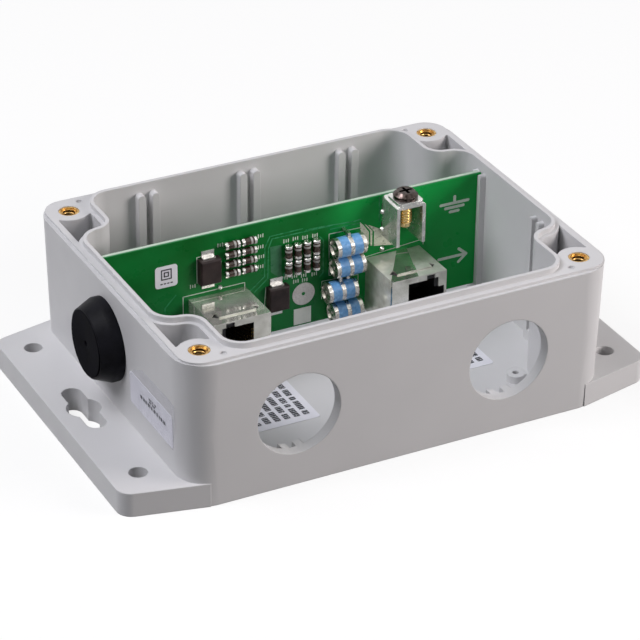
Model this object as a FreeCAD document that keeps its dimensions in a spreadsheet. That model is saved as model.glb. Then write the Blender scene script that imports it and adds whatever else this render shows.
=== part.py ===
import FreeCAD, Part
import math
import os
import Sketcher

# Ethernet surge protector: moulded wall box without its lid, with board, jacks and earth terminal.
# Millimetres. X runs to the right along the front wall, Y to the back, Z up.
# The origin lies on the mounting plane under the middle of the box.

SIZES = {
    # Box moulding
    "box_width": 90.4,
    "corner_radius": 8.6,
    "wall_draft": 0.89,
    "floor_thickness": 3.0,
    "platform_height": 39.1,
    "ledge_drop": 0.6,
    "ledge_width": 1.0,
    "strip_corner_radius": 5.6,
    "tongue_rise": 1.4,
    "tongue_width": 1.0,
    "wall_thickness": 3.7,
    "corner_block_length": 9.5,
    "corner_block_width": 17.8,
    "corner_block_root_radius": 5.2,
    "corner_block_nose_radius": 5.2,
    "well_side_wall": 2.0,
    "well_end_wall": 2.5,
    "well_back_distance": 3.6,
    "boss_diameter": 10.4,
    "dimple_diameter": 1.6,
    "dimple_depth": 0.5,
    "dimple_inward": 4.4,
    "dimple_outward": 3.66,
    # Lid screw inserts
    "insert_inset_x": 3.1,
    "insert_inset_y": 3.35,
    "insert_diameter": 5.2,
    "insert_core_diameter": 3.3,
    "insert_mouth_diameter": 4.2,
    "insert_mouth_depth": 0.4,
    "insert_length": 8.0,
    "insert_sink": 0.15,
    "insert_clearance": 0.02,
    "insert_bore_extra": 2.0,
    # Cable entries and wall openings
    "entry_diameter": 21.7,
    "entry_end_distance": 29.3,
    "entry_height": 19.5,
    # Guide rails and floor standoffs
    "rail_gap": 1.75,
    "rail_top_flat": 0.2,
    "wall_rail_thickness": 2.05,
    "wall_rail_rise": 2.2,
    "wall_rail_top": 38.0,
    "wall_rail_pitch": 28.35,
    "end_rail_thickness": 1.5,
    "end_rail_rise": 1.6,
    "end_rail_top": 37.7,
    "end_rail_spacing": 29.0,
    "standoff_diameter": 4.8,
    "standoff_rise": 2.0,
    "standoff_pilot": 1.6,
    "standoff_inset_x": 14.1,
    "standoff_inset_y": 11.8,
    # Fixing flanges
    "flange_span": 143.2,
    "flange_width": 14.1,
    "flange_thickness": 6.3,
    "flange_taper": 5.6,
    "flange_root_inset": 5.7,
    "flange_corner_radius": 4.0,
    "flange_hole_diameter": 4.6,
    "flange_hole_tip_distance": 7.6,
    "flange_hole_end_distance": 7.4,
    "keyhole_diameter": 8.6,
    "keyhole_slot_width": 5.1,
    "keyhole_slot_length": 20.0,
    # Cable grommet
    "grommet_height": 24.0,
    "grommet_base_diameter": 21.2,
    "grommet_face_diameter": 17.6,
    "grommet_projection": 5.7,
    "grommet_base_step": 1.6,
    "grommet_rim": 1.1,
    "grommet_recess": 1.2,
    "grommet_neck_diameter": 15.0,
    "grommet_lip_diameter": 18.0,
    "grommet_lip_thickness": 1.6,
    "grommet_lip_gap": 0.5,
    "grommet_hole_clearance": 0.3,
    "grommet_nub_diameter": 3.0,
    "grommet_nub_rise": 0.7,
    "grommet_ring_diameter": 9.0,
    "grommet_ring_width": 0.8,
    "grommet_ring_rise": 0.35,
    # Circuit board
    "board_thickness": 1.6,
    "board_height": 32.0,
    "board_seat_height": 5.85,
    "board_end_clearance": 0.5,
    # Network jacks
    "jack_left_x": -21.75,
    "jack_right_x": 27.85,
    "jack_centre_height": 13.4,
    "jack_width": 15.6,
    "jack_tall": 15.0,
    "jack_depth": 14.6,
    "jack_sheet": 0.35,
    "jack_fit": 0.05,
    "jack_contact_margin": 4.7,
    "jack_plug_tall": 11.7,
    "jack_plug_width": 5.2,
    "jack_notch_width": 2.35,
    "jack_notch_margin": 0.4,
    "jack_step_width": 1.05,
    "jack_step_tall": 12.0,
    "jack_channel_width": 1.7,
    "jack_channel_tall": 6.6,
    "jack_cavity_depth": 12.2,
    "jack_tab_length": 10.0,
    "jack_tab_width": 2.7,
    "jack_tab_rise": 0.4,
    "jack_tab_setback": 2.7,
    "jack_tab_hole": 1.5,
    "jack_peg_diameter": 3.1,
    "jack_peg_spacing": 10.2,
    "jack_peg_offset": 2.3,
    "jack_peg_clearance": 0.1,
    "jack_peg_stickout": 0.9,
    "contact_pitch": 1.02,
    "contact_width": 0.45,
    "contact_thickness": 0.3,
    "contact_foot": 1.4,
    "contact_reach": 6.5,
    "contact_lift": 2.6,
    # Gas discharge tubes
    "tube_diameter": 5.4,
    "tube_length": 8.3,
    "tube_axis_height": 3.0,
    "tube_cap_thickness": 1.1,
    "tube_cap_dish": 0.4,
    "tube_cap_rim": 0.5,
    "tube_ring_width": 1.1,
    "tube_ring_rise": 0.06,
    "tube_lead_width": 0.8,
    "tube_lead_rise": 1.0,
    "tube_1_x": 13.5,
    "tube_1_z": 27.45,
    "tube_2_x": 13.4,
    "tube_upper_pair_gap": 0.08,
    "tube_3_x": 11.3,
    "tube_3_z": 15.2,
    "tube_4_x": 12.9,
    "tube_lower_pair_gap": 0.58,
    # Small cylindrical diodes
    "diode_length": 4.1,
    "diode_diameter": 2.1,
    "diode_edge_bevel": 0.15,
    "diode_cap_length": 0.75,
    "diode_glass_inset": 0.12,
    "diode_gap": 0.1,
    "flat_diodes_x": -15.8,
    "flat_diodes_z": 30.2,
    "flat_diodes_gap_x": 0.5,
    "flat_diodes_gap_z": 0.55,
    "upright_diodes_x": 1.5,
    "upright_diodes_z": 26.0,
    "upright_diodes_gap_x": 0.5,
    "upright_diodes_gap_z": 0.4,
    # Surface mounted suppressors
    "suppressor_width": 5.6,
    "suppressor_tall": 6.7,
    "suppressor_rise": 2.4,
    "suppressor_gap": 0.15,
    "suppressor_bevel": 0.35,
    "suppressor_tab_width": 3.4,
    "suppressor_tab_length": 1.9,
    "suppressor_tab_rise": 1.3,
    "suppressor_tab_sheet": 0.3,
    "suppressor_1_x": -24.3,
    "suppressor_1_z": 28.4,
    "suppressor_2_x": -5.4,
    "suppressor_2_z": 16.1,
    # Earth terminal
    "terminal_x": 28.65,
    "terminal_width": 8.2,
    "terminal_depth": 8.0,
    "terminal_top": 37.8,
    "terminal_leg": 11.3,
    "terminal_sheet": 0.9,
    "terminal_pin_width": 1.2,
    "terminal_pin_spacing": 5.0,
    "terminal_pin_clearance": 0.15,
    "terminal_pin_stickout": 0.8,
    "screw_diameter": 2.9,
    "screw_axis_distance": 4.6,
    "screw_length": 8.4,
    "screw_tip_diameter": 2.0,
    "screw_clearance": 0.1,
    "screw_head_diameter": 6.4,
    "screw_head_height": 1.85,
    "screw_head_rim": 0.9,
    "screw_head_crown_diameter": 4.6,
    "screw_slot_length": 3.6,
    "screw_slot_width": 0.8,
    "screw_slot_depth": 1.1,
    "washer_side": 7.0,
    "washer_thickness": 0.7,
    "washer_corner_radius": 1.0,
    "washer_clearance": 0.05,
    # Labels
    "label_thickness": 0.1,
    "side_label_grommet_gap": 2.1,
    "side_label_tall": 8.8,
    "side_label_front_margin": 8.4,
    "side_label_z": 17.6,
    "board_sticker_side": 6.0,
    "board_sticker_end_distance": 17.8,
    "board_sticker_z": 28.9,
    "floor_label_length": 34.0,
    "floor_label_width": 23.0,
    "floor_label_left_x": -23.3,
    "floor_label_left_y": -7.0,
    "floor_label_right_x": 27.5,
    "floor_label_right_y": -3.4,
    "label_corner_radius": 0.8,
}

UP = FreeCAD.Vector(0, 0, 1)


class Size:
    """A number together with the spreadsheet formula that gives it."""

    def __init__(self, value, formula=None):
        self.value = float(value)
        self.formula = formula or repr(float(value))

    def joined(self, other, sign, result):
        return Size(result, "(%s %s %s)" % (self.formula, sign, other.formula))

    def __add__(self, other):
        other = as_size(other)
        return self.joined(other, "+", self.value + other.value)

    def __sub__(self, other):
        other = as_size(other)
        return self.joined(other, "-", self.value - other.value)

    def __mul__(self, other):
        other = as_size(other)
        return self.joined(other, "*", self.value * other.value)

    def __truediv__(self, other):
        other = as_size(other)
        return self.joined(other, "/", self.value / other.value)

    def __neg__(self):
        return self * -1

    def __radd__(self, other):
        return as_size(other) + self

    def __rsub__(self, other):
        return as_size(other) - self

    def __rmul__(self, other):
        return as_size(other) * self


def as_size(thing):
    return thing if isinstance(thing, Size) else Size(thing)


class Sizes:
    """Reads the named cells of the document's spreadsheet."""

    def __init__(self, doc):
        self.sheet = doc.addObject("Spreadsheet::Sheet", "sizes")
        for row, (name, value) in enumerate(SIZES.items(), 1):
            self.sheet.set("A%d" % row, name)
            self.sheet.set("B%d" % row, str(value))
            self.sheet.setAlias("B%d" % row, name)
        doc.recompute()

    def __getattr__(self, name):
        return Size(self.sheet.get(name), "sizes." + name)


def bind(thing, prop, size):
    """Ties a property of an object to the sheet."""
    size = as_size(size)
    thing.setExpression(prop, size.formula)


def place(thing, x, y, z, rotation=None):
    """Gives a finished sub-part its place; every coordinate follows the sheet."""
    x, y, z = as_size(x), as_size(y), as_size(z)
    base = FreeCAD.Vector(x.value, y.value, z.value)
    thing.Placement = FreeCAD.Placement(base, rotation or FreeCAD.Rotation())
    bind(thing, "Placement.Base.x", x)
    bind(thing, "Placement.Base.y", y)
    bind(thing, "Placement.Base.z", z)


# Sketch helpers

def new_body(doc, name):
    body = doc.addObject("PartDesign::Body", name)
    body.Label = name
    body.AllowCompound = True
    return body


def origin_feature(body, role):
    for feature in body.Origin.OriginFeatures:
        if feature.Role == role:
            return feature


def new_sketch(body, name, plane, offset=0):
    sketch = body.newObject("Sketcher::SketchObject", name)
    sketch.AttachmentSupport = [(origin_feature(body, plane), "")]
    sketch.MapMode = "FlatFace"
    offset = as_size(offset)
    sketch.AttachmentOffset = FreeCAD.Placement(FreeCAD.Vector(0, 0, offset.value), FreeCAD.Rotation())
    bind(sketch, "AttachmentOffset.Base.z", offset)
    return sketch


def constrain(sketch, size, *definition):
    """Adds a constraint with a size that follows the sheet."""
    number = sketch.addConstraint(Sketcher.Constraint(*definition, size.value))
    sketch.setExpression("Constraints[%d]" % number, size.formula)


def pin_x(sketch, line, point, x):
    constrain(sketch, as_size(x), "DistanceX", -1, 1, line, point)


def pin_y(sketch, line, point, y):
    constrain(sketch, as_size(y), "DistanceY", -1, 1, line, point)


def circle(sketch, x, y, diameter):
    x, y = as_size(x), as_size(y)
    centre = FreeCAD.Vector(x.value, y.value, 0)
    ring = sketch.addGeometry(Part.Circle(centre, UP, diameter.value / 2))
    pin_x(sketch, ring, 3, x)
    pin_y(sketch, ring, 3, y)
    constrain(sketch, diameter, "Diameter", ring)


def polygon(sketch, points):
    """Closed outline of straight lines through points given as (x, y)."""
    points = [(as_size(x), as_size(y)) for x, y in points]
    count = len(points)
    flat = [FreeCAD.Vector(x.value, y.value, 0) for x, y in points]
    lines = [sketch.addGeometry(Part.LineSegment(flat[i], flat[(i + 1) % count])) for i in range(count)]
    for i in range(count):
        sketch.addConstraint(Sketcher.Constraint("Coincident", lines[i - 1], 2, lines[i], 1))
        pin_x(sketch, lines[i], 1, points[i][0])
        pin_y(sketch, lines[i], 1, points[i][1])


def outline(sketch, corners):
    """Closed outline of level and upright lines. Each corner is (x, y) or (x, y, radius)."""
    count = len(corners)
    spots = [FreeCAD.Vector(as_size(c[0]).value, as_size(c[1]).value, 0) for c in corners]
    radii = [as_size(c[2]) if len(c) > 2 else None for c in corners]
    ways = [(spots[(i + 1) % count] - spots[i]).normalize() for i in range(count)]
    reach = [r.value if r else 0.0 for r in radii]
    lines = []
    for i in range(count):
        start = spots[i] + ways[i] * reach[i]
        end = spots[(i + 1) % count] - ways[i] * reach[(i + 1) % count]
        line = sketch.addGeometry(Part.LineSegment(start, end))
        level = abs(ways[i].y) < 0.5
        sketch.addConstraint(Sketcher.Constraint("Horizontal" if level else "Vertical", line))
        if level:
            pin_y(sketch, line, 1, corners[i][1])
        else:
            pin_x(sketch, line, 1, corners[i][0])
        lines.append(line)
    for i in range(count):
        if radii[i] is None:
            sketch.addConstraint(Sketcher.Constraint("Coincident", lines[i - 1], 2, lines[i], 1))
        else:
            round_corner(sketch, lines[i - 1], lines[i], spots[i], ways[i - 1], ways[i], radii[i])


def round_corner(sketch, before, after, spot, way_in, way_out, radius):
    """Joins two lines of an outline with an arc that touches both."""
    centre = spot + (way_out - way_in) * radius.value
    left_turn = way_in.cross(way_out).z > 0
    first = centre - way_out * radius.value
    last = centre + way_in * radius.value
    if not left_turn:
        first, last = last, first
    angles = [math.atan2(p.y - centre.y, p.x - centre.x) for p in (first, last)]
    if angles[1] < angles[0]:
        angles[1] += 2 * math.pi
    arc = sketch.addGeometry(Part.ArcOfCircle(Part.Circle(centre, UP, radius.value), angles[0], angles[1]))
    entry, exit_end = (1, 2) if left_turn else (2, 1)
    sketch.addConstraint(Sketcher.Constraint("Tangent", before, 2, arc, entry))
    sketch.addConstraint(Sketcher.Constraint("Tangent", arc, exit_end, after, 1))
    constrain(sketch, radius, "Radius", arc)


def box_outline(sketch, x0, x1, y0, y1, radius=None):
    corners = [(x0, y0), (x1, y0), (x1, y1), (x0, y1)]
    if radius is not None:
        corners = [corner + (radius,) for corner in corners]
    outline(sketch, corners)


def upright_slot(sketch, x, half_length, half_width):
    """Slot along the sketch's vertical direction, centred on y = 0, with round ends."""
    x = as_size(x)
    straight = half_length - half_width
    top = FreeCAD.Vector(x.value, straight.value, 0)
    bottom = FreeCAD.Vector(x.value, -straight.value, 0)
    side = FreeCAD.Vector(half_width.value, 0, 0)
    right = sketch.addGeometry(Part.LineSegment(bottom + side, top + side))
    left = sketch.addGeometry(Part.LineSegment(top - side, bottom - side))
    over = Part.Circle(top, UP, half_width.value)
    under = Part.Circle(bottom, UP, half_width.value)
    upper = sketch.addGeometry(Part.ArcOfCircle(over, 0, math.pi))
    lower = sketch.addGeometry(Part.ArcOfCircle(under, math.pi, 2 * math.pi))
    sketch.addConstraint(Sketcher.Constraint("Tangent", right, 2, upper, 1))
    sketch.addConstraint(Sketcher.Constraint("Tangent", upper, 2, left, 1))
    sketch.addConstraint(Sketcher.Constraint("Tangent", left, 2, lower, 1))
    sketch.addConstraint(Sketcher.Constraint("Tangent", lower, 2, right, 1))
    sketch.addConstraint(Sketcher.Constraint("Vertical", right))
    pin_x(sketch, upper, 3, x)
    pin_y(sketch, upper, 3, straight)
    pin_y(sketch, lower, 3, -straight)
    constrain(sketch, half_width, "Radius", upper)


# Feature helpers

def pad(body, name, sketch, length, backwards=False):
    feature = body.newObject("PartDesign::Pad", name)
    feature.Profile = sketch
    feature.Reversed = backwards
    bind(feature, "Length", length)
    return feature


def pocket(body, name, sketch, length=None, backwards=False):
    """Cuts against the sketch's normal, or along it when backwards; without a length right through."""
    feature = body.newObject("PartDesign::Pocket", name)
    feature.Profile = sketch
    feature.Reversed = backwards
    if length is None:
        feature.Type = "ThroughAll"
    else:
        bind(feature, "Length", length)
    return feature


def revolve(body, name, sketch, axis):
    feature = body.newObject("PartDesign::Revolution", name)
    feature.Profile = sketch
    feature.ReferenceAxis = (sketch, [axis])
    feature.Angle = 360
    return feature


def row_of(body, name, features, axis, length, count):
    feature = body.newObject("PartDesign::LinearPattern", name)
    feature.Originals = features
    feature.Direction = (origin_feature(body, axis), [""])
    bind(feature, "Length", length)
    feature.Occurrences = count
    body.Tip = feature
    return feature


SIGNS = [(sx, sy) for sx in (-1, 1) for sy in (-1, 1)]


# Box moulding

def box_length(d):
    """The box fills the space between the two fixing flanges."""
    return d.flange_span - d.flange_width * 2


def cavity_length(d):
    return box_length(d) - d.wall_thickness * 2


def cavity_width(d):
    return d.box_width - d.wall_thickness * 2


def insert_x(d):
    """Distance of the lid screw axes from the middle, along the box."""
    return cavity_length(d) / 2 - d.insert_inset_x


def insert_y(d):
    return cavity_width(d) / 2 - d.insert_inset_y


def rim_outline(sketch, d, inset, radius):
    half_x = box_length(d) / 2 - inset
    half_y = d.box_width / 2 - inset
    box_outline(sketch, -half_x, half_x, -half_y, half_y, radius)


def cavity_outline(sketch, d, grow):
    """Inside outline of the box, with the four corner blocks; grow moves it towards the walls."""
    half_x = cavity_length(d) / 2 + grow
    half_y = cavity_width(d) / 2 + grow
    block_x = cavity_length(d) / 2 - d.corner_block_length + grow
    block_y = cavity_width(d) / 2 - d.corner_block_width + grow
    root = d.corner_block_root_radius + grow
    nose = d.corner_block_nose_radius - grow
    outline(sketch, [
        (-block_x, -half_y, root), (block_x, -half_y, root), (block_x, -block_y, nose),
        (half_x, -block_y, root), (half_x, block_y, root), (block_x, block_y, nose),
        (block_x, half_y, root), (-block_x, half_y, root), (-block_x, block_y, nose),
        (-half_x, block_y, root), (-half_x, -block_y, root), (-block_x, -block_y, nose),
    ])


def flange_tip_y(d):
    """Half width of a flange at its outer edge."""
    return d.box_width / 2 - d.flange_taper


def add_flanges(body, d):
    sketch = new_sketch(body, "flange_plan", "XY_Plane")
    root_x = box_length(d) / 2 - d.wall_draft - d.flange_root_inset
    root_y = d.box_width / 2 - d.wall_draft
    tip_x = d.flange_span / 2
    tip_y = flange_tip_y(d)
    for side in (-1, 1):
        polygon(sketch, [(root_x * side, -root_y), (tip_x * side, -tip_y), (tip_x * side, tip_y),
                         (root_x * side, root_y)])
    flanges = pad(body, "flanges", sketch, d.flange_thickness)
    body.Document.recompute()
    tips = [name for name, edge in named_edges(flanges)
            if is_upright(edge) and abs(abs(edge.Vertexes[0].X) - tip_x.value) < 0.01]
    corners = body.newObject("PartDesign::Fillet", "flange_corners")
    corners.Base = (flanges, tips)
    bind(corners, "Radius", d.flange_corner_radius)


def named_edges(feature):
    return [("Edge%d" % number, edge) for number, edge in enumerate(feature.Shape.Edges, 1)]


def is_upright(edge):
    first, last = edge.Vertexes[0].Point, edge.Vertexes[-1].Point
    return math.hypot(first.x - last.x, first.y - last.y) < 0.001 and abs(first.z - last.z) > 0.001


def add_corner_wells(body, d):
    """Open wells beside the lid screw bosses, the wall that winds past them and the round boss fronts."""
    plan = new_sketch(body, "well_plan", "XY_Plane", d.platform_height)
    near_x = cavity_length(d) / 2 - d.corner_block_length + d.tongue_width
    far_x = box_length(d) / 2 - d.well_end_wall
    near_y = cavity_width(d) / 2 - d.corner_block_width - d.corner_block_root_radius
    far_y = insert_y(d) - d.well_back_distance
    for sx, sy in SIGNS:
        box_outline(plan, *ordered(near_x * sx, far_x * sx), *ordered(near_y * sy, far_y * sy))
    pocket(body, "wells", plan, d.platform_height - d.floor_thickness)
    wall = new_sketch(body, "winding_wall_plan", "XY_Plane", d.floor_thickness)
    cavity_outline(wall, d, d.well_side_wall)
    pad(body, "winding_wall", wall, d.platform_height - d.floor_thickness)
    bosses = new_sketch(body, "boss_plan", "XY_Plane", d.floor_thickness)
    for sx, sy in SIGNS:
        circle(bosses, insert_x(d) * sx, insert_y(d) * sy, d.boss_diameter)
    pad(body, "bosses", bosses, d.platform_height - d.floor_thickness)


def ordered(first, last):
    return (first, last) if first.value < last.value else (last, first)


def add_rails(body, d):
    """Guide rails on all four walls; those on the end walls stop at the board's seat."""
    half_gap = d.rail_gap / 2
    half_block = half_gap + d.wall_rail_thickness
    wall_y = cavity_width(d) / 2
    blocks = new_sketch(body, "wall_rail_plan", "XY_Plane", d.floor_thickness)
    gaps = new_sketch(body, "wall_rail_gap_plan", "XY_Plane", d.wall_rail_top)
    for side in (-1, 1):
        for step in (-1, 0, 1):
            x = d.wall_rail_pitch * step
            face = ordered((wall_y - d.wall_rail_rise) * side, (wall_y + d.ledge_width) * side)
            box_outline(blocks, x - half_block, x + half_block, *face)
            face = ordered((wall_y - d.wall_rail_rise) * side, wall_y * side)
            box_outline(gaps, x - half_gap, x + half_gap, *face)
    pad(body, "wall_rails", blocks, d.wall_rail_top - d.floor_thickness)
    ribs = pocket(body, "wall_rail_gaps", gaps, d.wall_rail_top - d.floor_thickness)
    middle = FreeCAD.Vector(0, wall_y.value - d.wall_rail_rise.value / 2, d.wall_rail_top.value)
    round_rib_tops(body, "wall_rail_tops", ribs, middle, d.wall_rail_thickness - d.rail_top_flat)
    end_x = cavity_length(d) / 2
    half_block = half_gap + d.end_rail_thickness
    blocks = new_sketch(body, "end_rail_plan", "XY_Plane", d.floor_thickness)
    gaps = new_sketch(body, "end_rail_gap_plan", "XY_Plane", d.end_rail_top)
    for sx, sy in SIGNS:
        y = d.end_rail_spacing / 2 * sy
        face = ordered((end_x - d.end_rail_rise) * sx, (end_x + d.ledge_width) * sx)
        box_outline(blocks, *face, y - half_block, y + half_block)
        face = ordered((end_x - d.end_rail_rise) * sx, end_x * sx)
        box_outline(gaps, *face, y - half_gap, y + half_gap)
    pad(body, "end_rails", blocks, d.end_rail_top - d.floor_thickness)
    ribs = pocket(body, "end_rail_gaps", gaps, d.end_rail_top - d.board_seat_height)
    middle = FreeCAD.Vector(end_x.value - d.end_rail_rise.value / 2, 0, d.end_rail_top.value)
    round_rib_tops(body, "end_rail_tops", ribs, middle, d.end_rail_thickness - d.rail_top_flat)


def round_rib_tops(body, name, ribs, middle, width):
    """Rounds both top edges of each rib; middle is half way out along the ribs of one wall."""
    body.Document.recompute()
    level = "x" if middle.x else "y"
    tops = []
    for edge_name, edge in named_edges(ribs):
        first, last = edge.Vertexes[0].Point, edge.Vertexes[-1].Point
        centre = (first + last) / 2
        at_top = abs(first.z - middle.z) < 0.001 and abs(last.z - middle.z) < 0.001
        if at_top and abs(abs(getattr(centre, level)) - getattr(middle, level)) < 0.01:
            along = last - first
            if abs(along.dot(middle.cross(UP))) < 0.001:
                tops.append(edge_name)
    rounds = body.newObject("PartDesign::Fillet", name)
    rounds.Base = (ribs, tops)
    bind(rounds, "Radius", width / 2)


def add_standoffs(body, d):
    posts = new_sketch(body, "standoff_plan", "XY_Plane", d.floor_thickness)
    pilots = new_sketch(body, "pilot_plan", "XY_Plane", d.floor_thickness + d.standoff_rise)
    for sx, sy in SIGNS:
        x = (cavity_length(d) / 2 - d.standoff_inset_x) * sx
        y = (cavity_width(d) / 2 - d.standoff_inset_y) * sy
        circle(posts, x, y, d.standoff_diameter)
        circle(pilots, x, y, d.standoff_pilot)
    pad(body, "standoffs", posts, d.standoff_rise)
    pocket(body, "standoff_pilots", pilots, d.standoff_rise)


def add_top_holes(body, d):
    """Insert bores and the small dimples beside them."""
    bores = new_sketch(body, "insert_bore_plan", "XY_Plane", d.platform_height)
    dimples = new_sketch(body, "dimple_plan", "XY_Plane", d.platform_height)
    for sx, sy in SIGNS:
        x, y = insert_x(d), insert_y(d)
        circle(bores, x * sx, y * sy, d.insert_diameter + d.insert_clearance * 2)
        circle(dimples, (x - d.dimple_inward) * sx, (y + d.dimple_outward) * sy, d.dimple_diameter)
    pocket(body, "insert_bores", bores, d.insert_sink + d.insert_length + d.insert_bore_extra)
    pocket(body, "dimples", dimples, d.dimple_depth)


def add_flange_holes(body, d):
    rounds = new_sketch(body, "flange_hole_plan", "XY_Plane", d.flange_thickness)
    slots = new_sketch(body, "keyhole_slot_plan", "XY_Plane", d.flange_thickness)
    x = d.flange_span / 2 - d.flange_hole_tip_distance
    y = flange_tip_y(d) - d.flange_hole_end_distance
    for sx, sy in SIGNS:
        circle(rounds, x * sx, y * sy, d.flange_hole_diameter)
    for side in (-1, 1):
        circle(rounds, x * side, 0, d.keyhole_diameter)
        upright_slot(slots, x * side, d.keyhole_slot_length / 2, d.keyhole_slot_width / 2)
    pocket(body, "flange_holes", rounds, d.flange_thickness)
    pocket(body, "keyhole_slots", slots, d.flange_thickness)


def add_wall_openings(body, d):
    """Two cable entries through the front wall and the grommet's hole through the left end."""
    front = new_sketch(body, "entry_elevation", "XZ_Plane", cavity_width(d) / 2 - d.wall_rail_rise * 2)
    x = box_length(d) / 2 - d.entry_end_distance
    for side in (-1, 1):
        circle(front, x * side, d.entry_height, d.entry_diameter)
    pocket(body, "cable_entries", front, backwards=True)
    end = new_sketch(body, "grommet_elevation", "YZ_Plane", -(cavity_length(d) / 2 - d.end_rail_rise * 2))
    circle(end, 0, d.grommet_height, d.grommet_neck_diameter + d.grommet_hole_clearance * 2)
    pocket(body, "grommet_hole", end)


def make_enclosure(doc, d):
    body = new_body(doc, "enclosure_base")
    ledge_height = d.platform_height - d.ledge_drop
    foot = new_sketch(body, "foot_outline", "XY_Plane")
    rim_outline(foot, d, d.wall_draft, d.corner_radius - d.wall_draft)
    head = new_sketch(body, "head_outline", "XY_Plane", ledge_height)
    rim_outline(head, d, as_size(0), d.corner_radius)
    shell = body.newObject("PartDesign::AdditiveLoft", "shell")
    shell.Profile = foot
    shell.Sections = [head]
    shell.Ruled = True
    strip = new_sketch(body, "strip_outline", "XY_Plane", ledge_height)
    rim_outline(strip, d, d.ledge_width, d.strip_corner_radius)
    pad(body, "rim_strip", strip, d.ledge_drop)
    add_flanges(body, d)
    add_corner_wells(body, d)
    tongue = new_sketch(body, "tongue_outline", "XY_Plane", d.platform_height)
    cavity_outline(tongue, d, d.tongue_width)
    pad(body, "tongue", tongue, d.tongue_rise)
    inside = new_sketch(body, "inside_outline", "XY_Plane", d.platform_height + d.tongue_rise)
    cavity_outline(inside, d, as_size(0))
    pocket(body, "inside", inside, d.platform_height + d.tongue_rise - d.floor_thickness)
    add_rails(body, d)
    add_standoffs(body, d)
    add_top_holes(body, d)
    add_flange_holes(body, d)
    add_wall_openings(body, d)
    return body


def make_inserts(doc, d):
    """Four brass inserts for the lid screws, pressed in just below the corner platforms."""
    body = new_body(doc, "threaded_inserts")
    top = d.platform_height - d.insert_sink
    plan = new_sketch(body, "insert_plan", "XY_Plane", top)
    mouths = new_sketch(body, "insert_mouths", "XY_Plane", top)
    for sx, sy in SIGNS:
        x, y = insert_x(d) * sx, insert_y(d) * sy
        circle(plan, x, y, d.insert_diameter)
        circle(plan, x, y, d.insert_core_diameter)
        circle(mouths, x, y, d.insert_mouth_diameter)
    pad(body, "sleeves", plan, d.insert_length, backwards=True)
    pocket(body, "mouths", mouths, d.insert_mouth_depth)
    return body


def wall_lean(d):
    """Angle of the drafted walls, in degrees."""
    run = d.platform_height - d.ledge_drop
    angle = math.degrees(math.atan(d.wall_draft.value / run.value))
    return Size(angle, "atan(%s / %s)" % (d.wall_draft.formula, run.formula))


def wall_x(d, height):
    """Half length of the outside at a given height."""
    run = d.platform_height - d.ledge_drop
    return box_length(d) / 2 - d.wall_draft + d.wall_draft * height / run


def lean_on_left_wall(thing, d, y, height, lean):
    place(thing, -wall_x(d, height), y, height)
    thing.Placement.Rotation = FreeCAD.Rotation(FreeCAD.Vector(0, 1, 0), -lean.value)
    thing.setExpression("Placement.Rotation.Axis.y", "1")
    thing.setExpression("Placement.Rotation.Angle", "-" + lean.formula)


def make_grommet(doc, d):
    """Rubber bung of the end wall, turned about its own axis; the neck passes the hole."""
    body = new_body(doc, "cable_grommet")
    profile = new_sketch(body, "half_section", "XZ_Plane")
    front = -d.grommet_projection
    floor = front + d.grommet_recess
    base, face = d.grommet_base_diameter / 2, d.grommet_face_diameter / 2
    neck, lip = d.grommet_neck_diameter / 2, d.grommet_lip_diameter / 2
    ring, nub = d.grommet_ring_diameter / 2, d.grommet_nub_diameter / 2
    inner = box_length(d) / 2 - cavity_length(d) / 2 + d.grommet_lip_gap
    polygon(profile, [
        (floor - d.grommet_nub_rise, 0), (floor - d.grommet_nub_rise, nub), (floor, nub),
        (floor, ring - d.grommet_ring_width), (floor - d.grommet_ring_rise, ring - d.grommet_ring_width),
        (floor - d.grommet_ring_rise, ring), (floor, ring), (floor, face - d.grommet_rim),
        (front, face - d.grommet_rim), (front, face), (-d.grommet_base_step, base), (0, base), (0, neck),
        (inner, neck), (inner, lip), (inner + d.grommet_lip_thickness, neck),
        (inner + d.grommet_lip_thickness, 0),
    ])
    revolve(body, "bung", profile, "H_Axis")
    lean_on_left_wall(body, d, as_size(0), d.grommet_height, wall_lean(d))
    return body


# Circuit board and what is soldered to it

def board_front(d):
    return d.end_rail_spacing / 2 - d.board_thickness / 2


def make_board(doc, d):
    """Upright board in the end rails, with holes for jack pegs and terminal pins."""
    body = new_body(doc, "circuit_board")
    sheet = new_sketch(body, "board_outline", "XZ_Plane")
    half = cavity_length(d) / 2 - d.board_end_clearance
    box_outline(sheet, -half, half, 0, d.board_height)
    peg_z = d.jack_centre_height - d.board_seat_height
    for x, side in ((d.jack_left_x, -1), (d.jack_right_x, 1)):
        for up in (-1, 1):
            circle(sheet, x + d.jack_peg_offset * side, peg_z + d.jack_peg_spacing / 2 * up,
                   d.jack_peg_diameter + d.jack_peg_clearance * 2)
    gap = d.terminal_pin_clearance
    for side in (-1, 1):
        x = d.terminal_x + (d.terminal_width / 2 - d.terminal_sheet / 2) * side
        for up in (-1, 1):
            z = pin_height(d, up) - d.board_seat_height
            box_outline(sheet, x - d.terminal_sheet / 2 - gap, x + d.terminal_sheet / 2 + gap,
                        z - d.terminal_pin_width / 2 - gap, z + d.terminal_pin_width / 2 + gap)
    pad(body, "laminate", sheet, d.board_thickness, backwards=True)
    place(body, 0, board_front(d), d.board_seat_height)
    return body


def on_board(thing, d, x, z, distance=0, turned=0, axis=FreeCAD.Vector(0, 1, 0)):
    """Places a sub-part at a point of the board's front face."""
    place(thing, x, board_front(d) - distance, z, FreeCAD.Rotation(axis, turned))


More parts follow.
